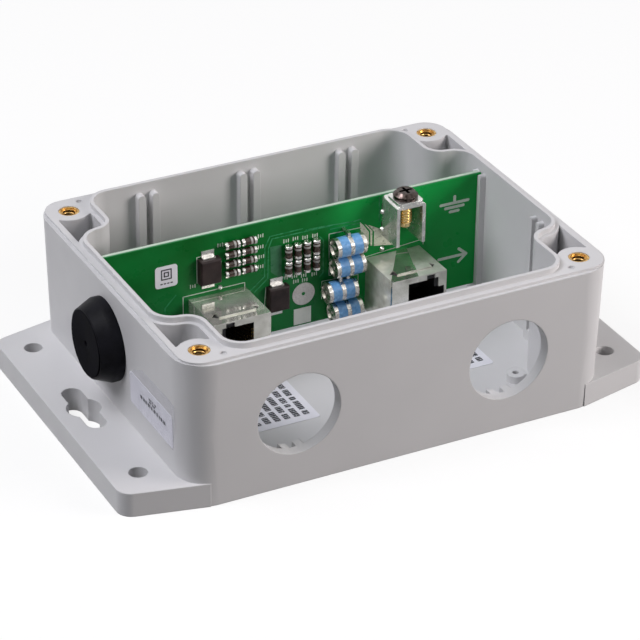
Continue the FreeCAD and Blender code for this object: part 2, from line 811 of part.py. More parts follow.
def jack_tab_face(body, d, side):
    """Spring tab and its two small holes on the upper or lower face of a jack's shield."""
    name = "upper" if side > 0 else "lower"
    half, tall = d.jack_tab_length / 2, d.jack_tall / 2
    front = -d.jack_depth + d.jack_tab_setback
    back = front + d.jack_tab_width
    tab = new_sketch(body, name + "_tab", "XY_Plane", tall * side)
    box_outline(tab, -half, half, front, back)
    pad(body, name + "_spring_tab", tab, d.jack_tab_rise, backwards=side < 0)
    holes = new_sketch(body, name + "_tab_holes", "XY_Plane", tall * side)
    for end in (-1, 1):
        polygon(holes, [(half * end, front), ((half + d.jack_tab_hole) * end, front + d.jack_tab_width / 2),
                        (half * end, back)])
    pocket(body, name + "_tab_cuts", holes, d.jack_sheet, backwards=side < 0)


def make_jack_shield(doc, d, name):
    """Folded sheet shield, open to the board, with the stepped plug opening in front."""
    body = new_body(doc, name + "_shield")
    half_x, half_z = d.jack_width / 2, d.jack_tall / 2
    block = new_sketch(body, "shield_outline", "XZ_Plane")
    box_outline(block, -half_x, half_x, -half_z, half_z)
    pad(body, "block", block, d.jack_depth)
    hollow = new_sketch(body, "hollow_outline", "XZ_Plane")
    wall = d.jack_sheet
    box_outline(hollow, wall - half_x, half_x - wall, wall - half_z, half_z - wall)
    pocket(body, "hollow", hollow, d.jack_depth - wall, backwards=True)
    opening = new_sketch(body, "opening_outline", "XZ_Plane", d.jack_depth)
    start = d.jack_contact_margin - half_x
    notch = start + d.jack_plug_width
    step = notch + d.jack_notch_width
    channel = step + d.jack_step_width
    end = channel + d.jack_channel_width
    plug, side = d.jack_plug_tall / 2, half_z - d.jack_notch_margin
    mid, low = d.jack_step_tall / 2, d.jack_channel_tall / 2
    upper = [(end, low), (channel, low), (channel, mid), (step, mid), (step, side), (notch, side),
             (notch, plug), (start, plug)]
    lower = [(x, -z) for x, z in reversed(upper)]
    outline(opening, upper + lower)
    pocket(body, "opening", opening, wall)
    for face in (-1, 1):
        jack_tab_face(body, d, face)
    return body


def make_jack_housing(doc, d, name):
    """Plastic insert of the jack: plug cavity with latch channel, and two pegs through the board."""
    body = new_body(doc, name + "_housing")
    inset = d.jack_sheet + d.jack_fit
    half_x, half_z = d.jack_width / 2 - inset, d.jack_tall / 2 - inset
    depth = d.jack_depth - inset
    block = new_sketch(body, "housing_outline", "XZ_Plane")
    box_outline(block, -half_x, half_x, -half_z, half_z)
    pad(body, "block", block, depth)
    cavity = new_sketch(body, "cavity_outline", "XZ_Plane", depth)
    start = d.jack_contact_margin - d.jack_width / 2
    channel = start + d.jack_plug_width + d.jack_notch_width
    end = channel + d.jack_step_width + d.jack_channel_width
    plug, low = d.jack_plug_tall / 2, d.jack_channel_tall / 2
    upper = [(end, low), (channel, low), (channel, plug), (start, plug)]
    outline(cavity, upper + [(x, -z) for x, z in reversed(upper)])
    pocket(body, "cavity", cavity, d.jack_cavity_depth)
    pegs = new_sketch(body, "peg_plan", "XZ_Plane")
    for up in (-1, 1):
        circle(pegs, d.jack_peg_offset, d.jack_peg_spacing / 2 * up, d.jack_peg_diameter)
    pad(body, "pegs", pegs, d.board_thickness + d.jack_peg_stickout, backwards=True)
    return body


def make_jack_contacts(doc, d, name):
    """Eight spring contacts; each foot lies on the cavity wall and the arm slants to the back."""
    body = new_body(doc, name + "_contacts")
    first = d.contact_pitch * -3.5 - d.contact_width / 2
    wall = d.jack_contact_margin - d.jack_width / 2
    front = -(d.jack_depth - d.jack_sheet * 2 - d.jack_fit)
    bend = front + d.contact_foot
    tip = bend + d.contact_reach
    lift = wall + d.contact_lift
    strip = new_sketch(body, "contact_side", "XY_Plane", first)
    polygon(strip, [(wall, front), (wall + d.contact_thickness, front), (wall + d.contact_thickness, bend),
                    (lift + d.contact_thickness, tip), (lift, tip), (wall, bend + d.contact_thickness)])
    contact = pad(body, "contact", strip, d.contact_width)
    row_of(body, "contact_row", [contact], "Z_Axis", d.contact_pitch * 7, 8)
    return body


def make_jacks(doc, d):
    """The same jack twice; the left one is turned upside down, so the latch sides face outwards."""
    parts = []
    for name, x, turned in (("jack_left", d.jack_left_x, 180), ("jack_right", d.jack_right_x, 0)):
        for make in (make_jack_shield, make_jack_housing, make_jack_contacts):
            body = make(doc, d, name)
            on_board(body, d, x, d.jack_centre_height, turned=turned)
            parts.append(body)
    return parts


def make_tube_ceramic(doc, d, name):
    body = new_body(doc, name + "_ceramic")
    profile = new_sketch(body, "half_section", "XZ_Plane")
    inner, outer = d.tube_ring_width / 2, d.tube_length / 2 - d.tube_cap_thickness
    box_outline(profile, inner, outer, 0, d.tube_diameter / 2)
    box_outline(profile, -outer, -inner, 0, d.tube_diameter / 2)
    revolve(body, "barrels", profile, "H_Axis")
    return body


def make_tube_electrodes(doc, d, name):
    """Two dished end caps and the middle ring, each with its lead to the board."""
    body = new_body(doc, name + "_electrodes")
    radius, end = d.tube_diameter / 2, d.tube_length / 2
    inner = end - d.tube_cap_thickness
    rim, dish = radius - d.tube_cap_rim, end - d.tube_cap_dish
    profile = new_sketch(body, "half_section", "XZ_Plane")
    for side in (-1, 1):
        polygon(profile, [(inner * side, 0), (dish * side, 0), (dish * side, rim), (end * side, rim),
                          (end * side, radius), (inner * side, radius)])
    half_ring = d.tube_ring_width / 2
    box_outline(profile, -half_ring, half_ring, 0, radius + d.tube_ring_rise)
    revolve(body, "electrodes", profile, "H_Axis")
    leads = new_sketch(body, "end_lead_plan", "XZ_Plane")
    for side in (-1, 1):
        circle(leads, (end - d.tube_cap_thickness / 2) * side, 0, d.tube_lead_width)
    pad(body, "end_leads", leads, d.tube_axis_height, backwards=True)
    half = d.tube_lead_width / 2
    bend = radius + d.tube_ring_rise + d.tube_lead_rise
    inside = bend - d.tube_lead_width
    foot = d.tube_axis_height
    middle = new_sketch(body, "middle_lead_side", "YZ_Plane", -half)
    outline(middle, [(-half, 0), (half, 0), (half, inside), (foot, inside), (foot, bend), (-half, bend)])
    pad(body, "middle_lead", middle, d.tube_lead_width)
    return body


def make_tubes(doc, d):
    """Four gas discharge tubes; every second one has its middle lead below."""
    parts = []
    across = d.tube_diameter + d.tube_ring_rise * 2
    spots = ((d.tube_1_x, d.tube_1_z, 0), (d.tube_2_x, d.tube_1_z - across - d.tube_upper_pair_gap, 180),
             (d.tube_3_x, d.tube_3_z, 0), (d.tube_4_x, d.tube_3_z - across - d.tube_lower_pair_gap, 180))
    for number, (x, z, turned) in enumerate(spots, 1):
        for make in (make_tube_ceramic, make_tube_electrodes):
            body = make(doc, d, "gas_tube_%d" % number)
            on_board(body, d, x, z, d.tube_axis_height, turned)
            parts.append(body)
    return parts


def make_diode(doc, d, name, x, z, turned):
    """Glass barrel between two pressed end caps."""
    body = new_body(doc, name)
    profile = new_sketch(body, "half_section", "XZ_Plane")
    half, radius, edge = d.diode_length / 2, d.diode_diameter / 2, d.diode_edge_bevel
    seam, glass = half - d.diode_cap_length, radius - d.diode_glass_inset
    right = [(half, 0), (half, radius - edge), (half - edge, radius), (seam, radius), (seam, glass)]
    polygon(profile, right + [(-x, z) for x, z in reversed(right)])
    revolve(body, "barrel", profile, "H_Axis")
    on_board(body, d, x, z, d.diode_diameter / 2 + d.diode_gap, turned)
    return body


def make_diodes(doc, d):
    """Two blocks of eight: four rows of two lying level, and two rows of four standing upright."""
    parts = []
    along, across = d.diode_length + d.flat_diodes_gap_x, d.diode_diameter + d.flat_diodes_gap_z
    for row in range(4):
        for column in range(2):
            x = d.flat_diodes_x + along * (column - 0.5)
            z = d.flat_diodes_z + across * (1.5 - row)
            parts.append(make_diode(doc, d, "flat_diode_%d%d" % (row + 1, column + 1), x, z, 0))
    along, across = d.diode_length + d.upright_diodes_gap_z, d.diode_diameter + d.upright_diodes_gap_x
    for row in range(2):
        for column in range(4):
            x = d.upright_diodes_x + across * (column - 1.5)
            z = d.upright_diodes_z + along * (0.5 - row)
            parts.append(make_diode(doc, d, "upright_diode_%d%d" % (row + 1, column + 1), x, z, 90))
    return parts


def make_suppressor_body(doc, d, name):
    body = new_body(doc, name + "_body")
    plan = new_sketch(body, "moulding_outline", "XZ_Plane", d.suppressor_gap)
    half_x, half_z = d.suppressor_width / 2, d.suppressor_tall / 2
    box_outline(plan, -half_x, half_x, -half_z, half_z)
    block = pad(body, "moulding", plan, d.suppressor_rise)
    body.Document.recompute()
    top = -(d.suppressor_gap + d.suppressor_rise).value
    rim = [name for name, edge in named_edges(block) if all(abs(v.Y - top) < 0.001 for v in edge.Vertexes)]
    bevel = body.newObject("PartDesign::Chamfer", "top_bevel")
    bevel.Base = (block, rim)
    bind(bevel, "Size", d.suppressor_bevel)
    return body


def make_suppressor_leads(doc, d, name):
    """A bent metal tab at each end, from the body's end face out onto the board."""
    body = new_body(doc, name + "_leads")
    half, sheet = d.suppressor_tab_width / 2, d.suppressor_tab_sheet
    end = d.suppressor_tall / 2
    side_view = new_sketch(body, "tab_side", "YZ_Plane", -half)
    rise = d.suppressor_tab_rise
    tip, skin = end + d.suppressor_tab_length, end + sheet
    for side in (-1, 1):
        outline(side_view, [(0, end * side), (0, tip * side), (-sheet, tip * side), (-sheet, skin * side),
                            (-rise, skin * side), (-rise, end * side)])
    pad(body, "tabs", side_view, d.suppressor_tab_width)
    return body


def make_suppressors(doc, d):
    parts = []
    spots = ((d.suppressor_1_x, d.suppressor_1_z), (d.suppressor_2_x, d.suppressor_2_z))
    for number, (x, z) in enumerate(spots, 1):
        for make in (make_suppressor_body, make_suppressor_leads):
            body = make(doc, d, "suppressor_%d" % number)
            on_board(body, d, x, z)
            parts.append(body)
    return parts


# Earth terminal

def pin_height(d, up):
    return d.terminal_top - d.terminal_leg / 2 + d.terminal_pin_spacing / 2 * up


def make_terminal_bracket(doc, d):
    """Sheet folded to an upside-down U, with the screw's hole and four pins through the board."""
    body = new_body(doc, "terminal_bracket")
    half, sheet, leg = d.terminal_width / 2, d.terminal_sheet, d.terminal_leg
    front = new_sketch(body, "fold", "XZ_Plane")
    outline(front, [(-half, -leg), (sheet - half, -leg), (sheet - half, -sheet), (half - sheet, -sheet),
                    (half - sheet, -leg), (half, -leg), (half, 0, sheet), (-half, 0, sheet)])
    pad(body, "bracket", front, d.terminal_depth)
    top = new_sketch(body, "screw_hole_plan", "XY_Plane")
    circle(top, 0, -d.screw_axis_distance, d.screw_diameter + d.screw_clearance * 2)
    pocket(body, "screw_hole", top, sheet)
    pins = new_sketch(body, "pin_plan", "XZ_Plane")
    for side in (-1, 1):
        for up in (-1, 1):
            z = pin_height(d, up) - d.terminal_top
            edges = ordered((half - sheet) * side, half * side)
            box_outline(pins, *edges, z - d.terminal_pin_width / 2, z + d.terminal_pin_width / 2)
    pad(body, "pins", pins, d.board_thickness + d.terminal_pin_stickout, backwards=True)
    on_board(body, d, d.terminal_x, d.terminal_top)
    return body


def make_terminal_washer(doc, d):
    """Square clamp washer that rises and falls with the screw."""
    body = new_body(doc, "terminal_washer")
    plan = new_sketch(body, "washer_plan", "XY_Plane")
    half = d.washer_side / 2
    box_outline(plan, -half, half, -half, half, d.washer_corner_radius)
    circle(plan, 0, 0, d.screw_diameter + d.screw_clearance * 2)
    pad(body, "plate", plan, d.washer_thickness)
    on_board(body, d, d.terminal_x, d.terminal_top + d.washer_clearance, d.screw_axis_distance)
    return body


def make_terminal_screw(doc, d):
    """Pan head screw with a cross recess; its head bears on the washer."""
    body = new_body(doc, "terminal_screw")
    shank, head = d.screw_diameter / 2, d.screw_head_diameter / 2
    top = d.screw_head_height
    profile = new_sketch(body, "half_section", "XZ_Plane")
    tip = d.screw_tip_diameter / 2
    end = -d.screw_length
    polygon(profile, [(0, end), (tip, end), (shank, end + shank - tip), (shank, 0), (head, 0),
                      (head, d.screw_head_rim), (d.screw_head_crown_diameter / 2, top), (0, top)])
    revolve(body, "turned_blank", profile, "V_Axis")
    cross = new_sketch(body, "recess_plan", "XY_Plane", top)
    long, wide = d.screw_slot_length / 2, d.screw_slot_width / 2
    outline(cross, [(wide, wide), (wide, long), (-wide, long), (-wide, wide),
                    (-long, wide), (-long, -wide), (-wide, -wide), (-wide, -long),
                    (wide, -long), (wide, -wide), (long, -wide), (long, wide)])
    pocket(body, "cross_recess", cross, d.screw_slot_depth)
    height = d.terminal_top + d.washer_clearance * 2 + d.washer_thickness
    on_board(body, d, d.terminal_x, height, d.screw_axis_distance)
    return body


# Labels

def label_sheet(doc, d, name, plane, length, tall, backwards=False):
    body = new_body(doc, name)
    plan = new_sketch(body, "label_outline", plane)
    box_outline(plan, -length / 2, length / 2, -tall / 2, tall / 2, d.label_corner_radius)
    pad(body, "paper", plan, d.label_thickness, backwards)
    return body


def make_labels(doc, d):
    sticker = label_sheet(doc, d, "board_sticker", "XZ_Plane", d.board_sticker_side, d.board_sticker_side)
    board_end = cavity_length(d) / 2 - d.board_end_clearance
    on_board(sticker, d, d.board_sticker_end_distance - board_end, d.board_sticker_z)
    room = (d.box_width - d.grommet_base_diameter) / 2
    side_length = room - d.side_label_front_margin - d.side_label_grommet_gap
    side = label_sheet(doc, d, "side_label", "YZ_Plane", side_length, d.side_label_tall, True)
    y = d.side_label_front_margin + side_length / 2 - d.box_width / 2
    lean_on_left_wall(side, d, y, d.side_label_z, wall_lean(d))
    left = label_sheet(doc, d, "floor_label_left", "XY_Plane", d.floor_label_width, d.floor_label_length)
    place(left, d.floor_label_left_x, d.floor_label_left_y, d.floor_thickness)
    right = label_sheet(doc, d, "floor_label_right", "XY_Plane", d.floor_label_width, d.floor_label_length)
    place(right, d.floor_label_right_x, d.floor_label_right_y, d.floor_thickness)
    return [sticker, side, left, right]


def check(doc, parts):
    """Stops before anything is written when an object failed."""
    for thing in doc.Objects:
        if "Invalid" in thing.State or "Error" in thing.State:
            raise RuntimeError("failed object: %s %s" % (thing.Name, thing.State))
    for part in parts:
        if part.Shape.isNull() or not part.Shape.isValid() or not part.Shape.Solids:
            raise RuntimeError("bad shape: " + part.Label)


def build():
    doc = FreeCAD.newDocument("ethernet_surge_protector")
    d = Sizes(doc)
    parts = [make_enclosure(doc, d), make_inserts(doc, d), make_grommet(doc, d), make_board(doc, d)]
    parts += make_jacks(doc, d)
    parts += make_tubes(doc, d)
    parts += make_diodes(doc, d)
    parts += make_suppressors(doc, d)
    parts += [make_terminal_bracket(doc, d), make_terminal_washer(doc, d), make_terminal_screw(doc, d)]
    parts += make_labels(doc, d)
    doc.recompute()
    check(doc, parts)
    os.makedirs("parts", exist_ok=True)
    for part in parts:
        part.Shape.exportStep("parts/%s.step" % part.Label)


build()
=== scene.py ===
import math

import bpy
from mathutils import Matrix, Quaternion, Vector


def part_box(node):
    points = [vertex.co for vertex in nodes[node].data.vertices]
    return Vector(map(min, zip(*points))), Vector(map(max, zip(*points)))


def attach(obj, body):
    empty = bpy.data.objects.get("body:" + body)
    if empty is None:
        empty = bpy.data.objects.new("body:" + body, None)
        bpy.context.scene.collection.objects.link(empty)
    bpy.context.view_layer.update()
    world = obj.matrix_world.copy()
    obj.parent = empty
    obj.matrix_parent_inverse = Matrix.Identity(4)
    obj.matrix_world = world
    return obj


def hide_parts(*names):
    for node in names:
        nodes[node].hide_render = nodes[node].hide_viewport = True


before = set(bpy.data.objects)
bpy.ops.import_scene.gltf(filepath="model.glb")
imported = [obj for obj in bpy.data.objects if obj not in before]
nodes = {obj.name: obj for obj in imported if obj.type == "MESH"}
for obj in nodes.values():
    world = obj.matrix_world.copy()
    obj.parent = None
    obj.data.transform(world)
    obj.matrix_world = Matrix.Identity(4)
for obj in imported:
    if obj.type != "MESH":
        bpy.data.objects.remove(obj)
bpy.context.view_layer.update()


# Box base
# One injection moulding in light grey plastic: walls, fixing flanges, rim tongue, corner blocks,
# guide rails and standoffs. A copy of the CAD mesh with joined facets stands for it, so that its
# rounds shade smoothly.

MM = 0.001
WELD_DISTANCE = 0.001 * MM


class Wire:
    """A shader socket that takes part in plain arithmetic and feeds other nodes."""

    def __init__(self, tree, socket):
        self.tree = tree
        self.socket = socket

    def node(self, kind, settings=None, inputs=None, output=0):
        """Adds a node: its settings come first, then the values or links of its sockets."""
        made = self.tree.nodes.new(kind)
        for name, value in (settings or {}).items():
            setattr(made, name, value)
        for name, value in (inputs or {}).items():
            if isinstance(value, Wire):
                self.tree.links.new(value.socket, made.inputs[name])
            else:
                made.inputs[name].default_value = value
        return Wire(self.tree, made.outputs[output])

    def math(self, operation, *values):
        return self.node("ShaderNodeMath", {"operation": operation}, dict(enumerate(values)))

    def __add__(self, other):
        return self.math("ADD", self, other)

    def __sub__(self, other):
        return self.math("SUBTRACT", self, other)

    def __rsub__(self, other):
        return self.math("SUBTRACT", other, self)

    def __mul__(self, other):
        return self.math("MULTIPLY", self, other)

    def __truediv__(self, other):
        return self.math("DIVIDE", self, other)

    def __mod__(self, other):
        return self.math("FLOORED_MODULO", self, other)

    def __abs__(self):
        return self.math("ABSOLUTE", self)

    __radd__ = __add__
    __rmul__ = __mul__

    def step(self, start, end):
        """0 below start and 1 above end, smooth between them. Start may be the larger one."""
        ends = {"Value": self, "From Min": start, "From Max": end}
        return self.node("ShaderNodeMapRange", {"interpolation_type": "SMOOTHSTEP"}, ends)

    def spread(self, low, high):
        """Takes a noise, which is about 0.3 to 0.7, to low and high."""
        ends = {"Value": self, "From Min": 0.3, "From Max": 0.7, "To Min": low, "To Max": high}
        return self.node("ShaderNodeMapRange", {"clamp": True}, ends)

    def blend(self, start, end):
        """The start colour where this mask is 0, the end colour where it is 1."""
        sockets = {0: self, 6: start, 7: end}
        return self.node("ShaderNodeMix", {"data_type": "RGBA"}, sockets, 2)

    def noise(self, size, detail=3.0, stretch=(1, 1, 1)):
        """Noise with spots of about this size, drawn out by stretch along the axes."""
        place = self.node("ShaderNodeMapping", None, {"Vector": self, "Scale": stretch})
        return self.node("ShaderNodeTexNoise", None, {"Vector": place, "Scale": 1 / size, "Detail": detail})

    def axis(self, name):
        return self.node("ShaderNodeSeparateXYZ", None, {0: self}, "XYZ".index(name))

    def bump(self, height, strength=1.0, normal=None):
        """A relief that is height metres deep."""
        sockets = {"Height": self, "Distance": height, "Strength": strength}
        if normal is not None:
            sockets["Normal"] = normal
        return self.node("ShaderNodeBump", None, sockets)

    def rounded_edges(self, radius):
        return self.node("ShaderNodeBevel", {"samples": 4}, {"Radius": radius})


def finish(name, fixed=None):
    """A new material, its shader, and the place on the object that its patterns read."""
    made = bpy.data.materials.new(name)
    made.use_nodes = True
    shader = made.node_tree.nodes["Principled BSDF"]
    for socket, value in (fixed or {}).items():
        shader.inputs[socket].default_value = value
    coordinates = made.node_tree.nodes.new("ShaderNodeTexCoord")
    return made, shader, Wire(made.node_tree, coordinates.outputs["Object"])


def feed(shader, **wires):
    """Links wires to the shader's sockets, named with _ for a space."""
    for name, wire in wires.items():
        wire.tree.links.new(wire.socket, shader.inputs[name.replace("_", " ")])


def pick(*objects):
    """Selects only these objects and makes the first one active."""
    bpy.ops.object.select_all(action="DESELECT")
    for obj in objects:
        obj.select_set(True)
    bpy.context.view_layer.objects.active = objects[0]


def paint(obj, material):
    obj.data.materials.clear()
    obj.data.materials.append(material)


def joined_copy(node, name, sharp=28.0):
    """A copy of a CAD node whose facets are joined and whose rounds shade smoothly."""
    piece = bpy.data.objects.new(name, nodes[node].data.copy())
    bpy.context.collection.objects.link(piece)
    pick(piece)
    bpy.ops.object.mode_set(mode="EDIT")
    bpy.ops.mesh.select_all(action="SELECT")
    bpy.ops.mesh.customdata_custom_splitnormals_clear()
    bpy.ops.mesh.remove_doubles(threshold=WELD_DISTANCE)
    bpy.ops.object.mode_set(mode="OBJECT")
    bpy.ops.object.shade_smooth_by_angle(angle=math.radians(sharp))
    return piece


def weigh_normals(piece):
    """Keeps large flat faces flat beside the small faces of a round."""
    pick(piece)
    bpy.ops.object.modifier_add(type="WEIGHTED_NORMAL")
    piece.modifiers[-1].keep_sharp = True
    bpy.ops.object.modifier_apply(modifier=piece.modifiers[-1].name)


def stand_for(piece, node, material, body="box"):
    """The piece takes the node's place on its body, with this material."""
    paint(piece, material)
    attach(piece, body)
    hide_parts(node)


base = joined_copy("enclosure_base", "box_moulding")
weigh_normals(base)

plastic, shader, place = finish("moulded_grey_plastic", {"Specular IOR Level": 0.45})
cloud = place.noise(22 * MM, 2)
grain = place.noise(0.16 * MM, 2)
feed(
    shader,
    Base_Color=cloud.spread(0, 1).blend((0.592, 0.590, 0.597, 1), (0.618, 0.615, 0.621, 1)),
    Roughness=place.noise(6 * MM, 4).spread(0.36, 0.48),
    Normal=grain.bump(0.006 * MM, 0.6, place.rounded_edges(0.36 * MM)),
)
stand_for(base, "enclosure_base", plastic)


# Lid screw inserts
# Four turned brass bushes, pressed into the corner blocks. Their bores are tapped, so each one
# gets the ridge of its thread, a small triangle wound up the bore.

INSERT_X = 50.7 * MM
INSERT_Y = 38.15 * MM
BORE_RADIUS = 1.65 * MM
THREAD_PITCH = 0.7 * MM
THREAD_HEIGHT = 0.2 * MM
THREAD_FOOT = 0.02 * MM
FLANK_SHARE = 0.42
STEPS_PER_TURN = 20
INSERT_LOW, INSERT_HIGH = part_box("threaded_inserts")


def settle(obj):
    """Takes the object's place, turn and size into its mesh."""
    pick(obj)
    bpy.ops.object.transform_apply(location=True, rotation=True, scale=True)


def on_box(piece, material):
    """The piece is added to what rides on the box, with this material."""
    paint(piece, material)
    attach(piece, "box")


def wound_ridge(name, centre, radius, height, pitch, start, turns):
    """A helical ridge of triangular section. A negative height points to the axis."""
    bpy.ops.object.select_all(action="DESELECT")
    bpy.ops.mesh.primitive_circle_add(vertices=3, radius=pitch, fill_type="NOTHING")
    ridge = bpy.context.object
    ridge.name = name
    corners = (
        (radius, 0, -pitch * FLANK_SHARE),
        (radius + height, 0, 0),
        (radius, 0, pitch * FLANK_SHARE),
    )
    for vertex, corner in zip(ridge.data.vertices, corners):
        vertex.co = corner
    bpy.ops.object.modifier_add(type="SCREW")
    winding = ridge.modifiers[-1]
    winding.angle = math.tau
    winding.screw_offset = pitch
    winding.iterations = turns
    winding.steps = STEPS_PER_TURN
    winding.render_steps = STEPS_PER_TURN
    winding.use_merge_vertices = True
    bpy.ops.object.modifier_apply(modifier=winding.name)
    bpy.ops.object.mode_set(mode="EDIT")
    bpy.ops.mesh.select_all(action="SELECT")
    bpy.ops.mesh.normals_make_consistent(inside=height < 0)
    bpy.ops.object.mode_set(mode="OBJECT")
    ridge.location = (centre[0], centre[1], start)
    settle(ridge)
    bpy.ops.object.shade_smooth_by_angle(angle=math.radians(40))
    return ridge


brass, shader, place = finish("turned_brass", {"Metallic": 1.0})
tooling = place.noise(0.12 * MM, 3, (0.2, 0.2, 3))
# Painted shade: each bore is painted dark brown from 0.3 mm below its mouth downwards, for the shade inside
# it.
depth = place.axis("Z").step(INSERT_HIGH.z - 0.3 * MM, INSERT_HIGH.z - 2.4 * MM)
turned = place.noise(0.9 * MM, 3).spread(0, 1).blend((0.34, 0.18, 0.05, 1), (0.80, 0.55, 0.22, 1))
feed(
    shader,
    Base_Color=depth.blend(turned, (0.05, 0.025, 0.010, 1)),
    Roughness=tooling.spread(0.16, 0.36),
    Normal=tooling.bump(0.01 * MM, 0.5, place.rounded_edges(0.12 * MM)),
)
bushes = joined_copy("threaded_inserts", "brass_bushes")
stand_for(bushes, "threaded_inserts", brass)
insert_turns = int((INSERT_HIGH.z - INSERT_LOW.z) / THREAD_PITCH) - 1
for side_x, x in (("left", -INSERT_X), ("right", INSERT_X)):
    for side_y, y in (("front", -INSERT_Y), ("back", INSERT_Y)):
        thread = wound_ridge(
            f"insert_thread_{side_x}_{side_y}", (x, y), BORE_RADIUS + THREAD_FOOT, -THREAD_HEIGHT,
            THREAD_PITCH, INSERT_LOW.z + THREAD_PITCH * 0.4, insert_turns)
        on_box(thread, brass)


# Cable grommet
# A round black rubber plug with a stepped dome, snapped into the left end wall. Its face is a
# thin skin, dished a little towards a small pit, to be pierced for a cable.

GROMMET_LOW, GROMMET_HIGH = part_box("cable_grommet")
axis_y = (GROMMET_LOW.y + GROMMET_HIGH.y) / 2
axis_z = (GROMMET_LOW.z + GROMMET_HIGH.z) / 2
FRESH_BLACK = (0.0030, 0.0030, 0.0042, 1)
DUSTY_BLACK = (0.0090, 0.0090, 0.0120, 1)


def rubber_finish(name, shine):
    """Dull black rubber with dust and a fine, uneven grain."""
    made, shader, place = finish(name, {"Specular IOR Level": shine})
    dust = place.noise(3.5 * MM, 5)
    grain = place.noise(0.6 * MM, 4) * 0.5
    feed(
        shader,
        Base_Color=dust.spread(0, 1).blend(FRESH_BLACK, DUSTY_BLACK),
        Roughness=dust.spread(0.30, 0.48),
        Normal=grain.bump(0.16 * MM, 0.6, place.rounded_edges(0.4 * MM)),
    )
    return made


rubber = rubber_finish("black_rubber", 0.05)
thin_rubber = rubber_finish("thin_black_rubber", 0.003)
grommet = joined_copy("cable_grommet", "rubber_grommet")
stand_for(grommet, "cable_grommet", rubber)

SKIN_RADIUS = 8.4 * MM
SKIN_THICK = 1.2 * MM
SKIN_RISE = 0.05 * MM
DISH_RADIUS = 2.2 * MM


def dish(piece, facing, steps):
    """Insets the flat face that points this way, step by step: (how far in, how far down)."""
    pick(piece)
    bpy.ops.object.mode_set(mode="EDIT")
    bpy.ops.mesh.select_mode(type="FACE")
    bpy.ops.mesh.select_all(action="DESELECT")
    bpy.ops.object.mode_set(mode="OBJECT")
    for polygon in piece.data.polygons:
        polygon.select = polygon.normal.dot(facing) > 0.9
    bpy.ops.object.mode_set(mode="EDIT")
    for inwards, down in steps:
        bpy.ops.mesh.inset(thickness=inwards)
        bpy.ops.transform.translate(value=facing * -down)
    bpy.ops.mesh.select_mode(type="VERT")
    bpy.ops.object.mode_set(mode="OBJECT")
    bpy.ops.object.shade_smooth_by_angle(angle=math.radians(40))


bpy.ops.object.select_all(action="DESELECT")
bpy.ops.mesh.primitive_cylinder_add(
    vertices=64, radius=SKIN_RADIUS, depth=SKIN_THICK,
    location=(GROMMET_LOW.x - SKIN_RISE + SKIN_THICK / 2, axis_y, axis_z),
    rotation=(0, math.pi / 2, 0))
skin = bpy.context.object
skin.name = "grommet_face_skin"
settle(skin)
skin_steps = ((SKIN_RADIUS - DISH_RADIUS, 0.10 * MM), (1.5 * MM, 0.10 * MM), (0.2 * MM, 0.6 * MM))
dish(skin, Vector((-1, 0, 0)), skin_steps)
on_box(skin, thin_rubber)


# Circuit board
# Glass fibre laminate with a glossy green solder mask over copper, cut edges left pale. It
# stands upright in the end rails. Its right part is painted a lighter green, a painted pool of light.

BOARD_LOW, BOARD_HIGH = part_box("circuit_board")
FRONT = BOARD_LOW.y
BACK = BOARD_HIGH.y
SHEET_THICK = 0.04 * MM
BARS_STEP = 0.006
MASK_GREEN = (0.0009, 0.108, 0.013, 1)
COPPER_GREEN = (0.0025, 0.150, 0.024, 1)
PAINTED_LIGHT_GREEN = (0.0045, 0.285, 0.050, 1)
POURED_GREEN = (0.016, 0.190, 0.052, 1)
TRACK_GREEN = (0.040, 0.300, 0.120, 1)

mask, shader, place = finish("green_solder_mask", {"Specular IOR Level": 0.16})
height = place.axis("Y")
behind_front = height.step(FRONT + 0.05 * MM, FRONT + 0.1 * MM)
cut_edge = behind_front * height.step(BACK - 0.05 * MM, BACK - 0.1 * MM)
tint = place.noise(9 * MM, 3).spread(0, 1)
# Painted light: from x 6 mm to 16 mm the mask turns a lighter green, which stays on to the right end.
painted_light_right = place.axis("X").step(6 * MM, 16 * MM)
deep = painted_light_right.blend(tint.blend(MASK_GREEN, COPPER_GREEN), PAINTED_LIGHT_GREEN)
poured = place.axis("X").step(20 * MM, -2 * MM) * place.axis("Z").step(31 * MM, 12 * MM)
face = (poured * 0.75).blend(deep, POURED_GREEN)
layers = place.noise(0.7 * MM, 4, (0.3, 6, 0.3)).spread(0, 1)
pressed = layers.blend((0.40, 0.52, 0.42, 1), (0.66, 0.74, 0.64, 1))
lip = height.step(FRONT + 0.85 * MM, FRONT + 0.35 * MM)
fibres = lip.blend(pressed, (0.012, 0.17, 0.05, 1))
feed(
    shader,
    Base_Color=cut_edge.blend(face, fibres),
    Roughness=cut_edge * 0.35 + place.noise(4 * MM, 3).spread(0.26, 0.36),
    Normal=place.noise(0.4 * MM, 2).bump(0.008 * MM, 0.5),
)
paint(nodes["circuit_board"], mask)


def joined(name, pieces):
    """All the pieces as one, with this name."""
    pick(*pieces)
    bpy.ops.object.join()
    pieces[0].name = name
    return pieces[0]


def print_bars(name, bars, width, rise, layer=FRONT):
    """Flat bars in front of the layer, between pairs of points (x, z) in mm, as one piece.

    Bars that meet differ a little in thickness, so that no two faces lie in one plane.
    """
    pieces = []
    for number, (x0, z0, x1, z1) in enumerate(bars):
        thick = rise + number % 3 * BARS_STEP
        length = math.hypot(x1 - x0, z1 - z0) + width
        middle = ((x0 + x1) / 2 * MM, layer - thick * MM / 2, (z0 + z1) / 2 * MM)
        bpy.ops.object.select_all(action="DESELECT")
        bpy.ops.mesh.primitive_cube_add(
            size=1, location=middle, rotation=(0, -math.atan2(z1 - z0, x1 - x0), 0),
            scale=(length * MM, thick * MM, width * MM))
        pieces.append(bpy.context.object)
    piece = joined(name, pieces)
    settle(piece)
    round_print(piece, width * 0.45 * MM)
    return piece


